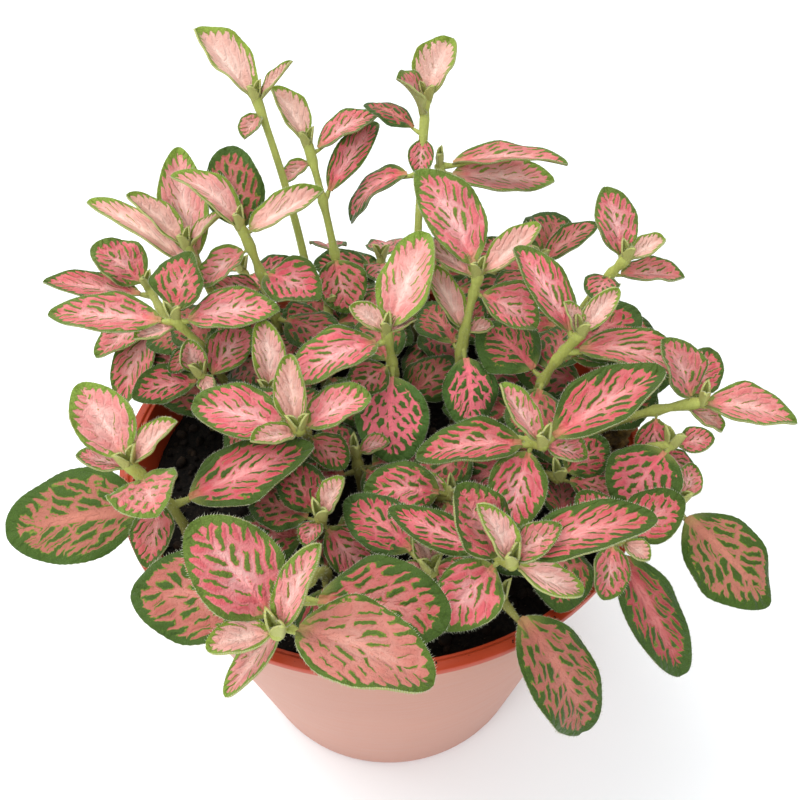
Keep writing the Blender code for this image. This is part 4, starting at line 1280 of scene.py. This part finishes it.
def tube_hairs(draw, path, radii, lowest=0):
    """Hairs all round a tube, where it is over a height."""
    hairs = []
    for low, high, radius in zip(path, path[1:], radii):
        if high.z < lowest:
            continue
        ahead = high - low
        side = ahead.orthogonal().normalized()
        for _ in range(round(ahead.length / MM * TUBE_HAIRS)):
            out = Matrix.Rotation(draw.uniform(0, math.tau), 3, ahead.normalized()) @ side
            spot = low + ahead * draw.random() + out * radius * HAIR_SINK
            lean = (out + ahead.normalized() * draw.gauss(*HAIR_AHEAD)).normalized()
            hairs.append((spot, lean, draw.uniform(*HAIR_LENGTH) * MM))
    return hairs


def make_stem(name, placed, finishes):
    """The leaves, the stalks and the hairs of one stem, as three pieces."""
    face, back, stalk, hair = finishes
    draw = random.Random(name)
    stem = STEMS[name]
    blades = bmesh.new()
    layers = [
        blades.verts.layers.float_vector.new(layer) for layer in ("leaf_place", "leaf_kind", "leaf_veins")]
    stalks = bmesh.new()
    path, radii = stem_path(stem, placed)
    sweep(stalks, path, radii, STEM_SIDES)
    hairs = tube_hairs(draw, path, radii, SOIL_TOP + SOIL_CROWN)
    for leaf, number, base in placed + bud_leaves(stem, placed):
        hairs += edge_hairs(draw, *add_blade(blades, layers, leaf, number, base))
        path, radii = rib_path(leaf, number, base)
        sweep(stalks, path, radii, RIB_SIDES)
        petiole = max(1, round(petiole_share(leaf) / RIB_REACH * (RIB_RINGS - 1)))
        hairs += tube_hairs(draw, path[:petiole + 1], radii)
    tops = set(blades.faces)
    bmesh.ops.solidify(blades, geom=blades.faces, thickness=BLADE)
    for part in blades.faces:
        if part not in tops:
            part.material_index = 1
    for edge in blades.edges:
        if len({part in tops for part in edge.link_faces}) == 2:
            edge.smooth = False
    short = name.removeprefix("stem_")
    add_piece(f"leaves_{short}", blades, [face, back], [name])
    add_piece(f"stalk_{short}", stalks, [stalk], [name])
    add_piece(f"hairs_{short}", hair_bm(hairs), [hair], [name])


# The camera, fitted to the pot in the photo, which is 800 by 800
CAMERA_PLACE = (0, -136.1 * MM, 232.4 * MM)
CAMERA_TURN = (45.76, 0.89, -2.7)
CAMERA_LENS = 38.25
CAMERA_NEAR = 0.01
SENSOR = 36

# Light: a bright white room, and two wide soft lamps, each with its place, size, power and colour
ROOM_LIGHT = 0.9
ROOM_COLOUR = (0.985, 0.995, 1, 1)
LAMPS = (
    ("overhead", (-0.35, 0.25, 0.95), 0.9, 8.5, (1.0, 0.99, 0.97)),
    ("front", (-0.4, -0.75, 0.75), 0.8, 5.0, (0.98, 0.99, 1.0)),
)
LOOK_AT = Vector((0, 0, 90 * MM))
FLOOR_SIZE = 3


def make_camera():
    camera = add_object("camera", bpy.data.cameras.new("camera"))
    camera.data.lens = CAMERA_LENS
    camera.data.sensor_width = SENSOR
    camera.data.clip_start = CAMERA_NEAR
    camera.data.dof.use_dof = False
    camera.location = CAMERA_PLACE
    camera.rotation_euler = [math.radians(angle) for angle in CAMERA_TURN]
    bpy.context.scene.camera = camera


def make_light():
    world = bpy.data.worlds.new("white room")
    world.use_nodes = True
    room = world.node_tree.nodes["Background"].inputs
    room["Color"].default_value = ROOM_COLOUR
    room["Strength"].default_value = ROOM_LIGHT
    bpy.context.scene.world = world
    for name, place, size, power, colour in LAMPS:
        lamp = bpy.data.lights.new(name, "AREA")
        lamp.shape = "DISK"
        lamp.size = size
        lamp.energy = power
        lamp.color = colour
        turn = (LOOK_AT - Vector(place)).to_track_quat("-Z", "Y").to_matrix().to_4x4()
        add_object(name, lamp).matrix_world = Matrix.Translation(place) @ turn
    bpy.context.scene.view_settings.view_transform = "Standard"


def make_floor():
    bm = bmesh.new()
    bmesh.ops.create_grid(bm, x_segments=2, y_segments=2, size=FLOOR_SIZE)
    table = add_object("table", to_mesh("table", bm))
    table.data.materials.append(floor_finish())


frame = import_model()
make_camera()
make_light()
make_floor()
make_pot()
make_soil()
make_crumbs()
make_scraps()
leaf_finishes = (leaf_face(), leaf_back(), stalk_finish(), hair_finish())
placed = placed_leaves(frame["nodes"])
for name in STEMS:
    make_stem(name, placed[name], leaf_finishes)
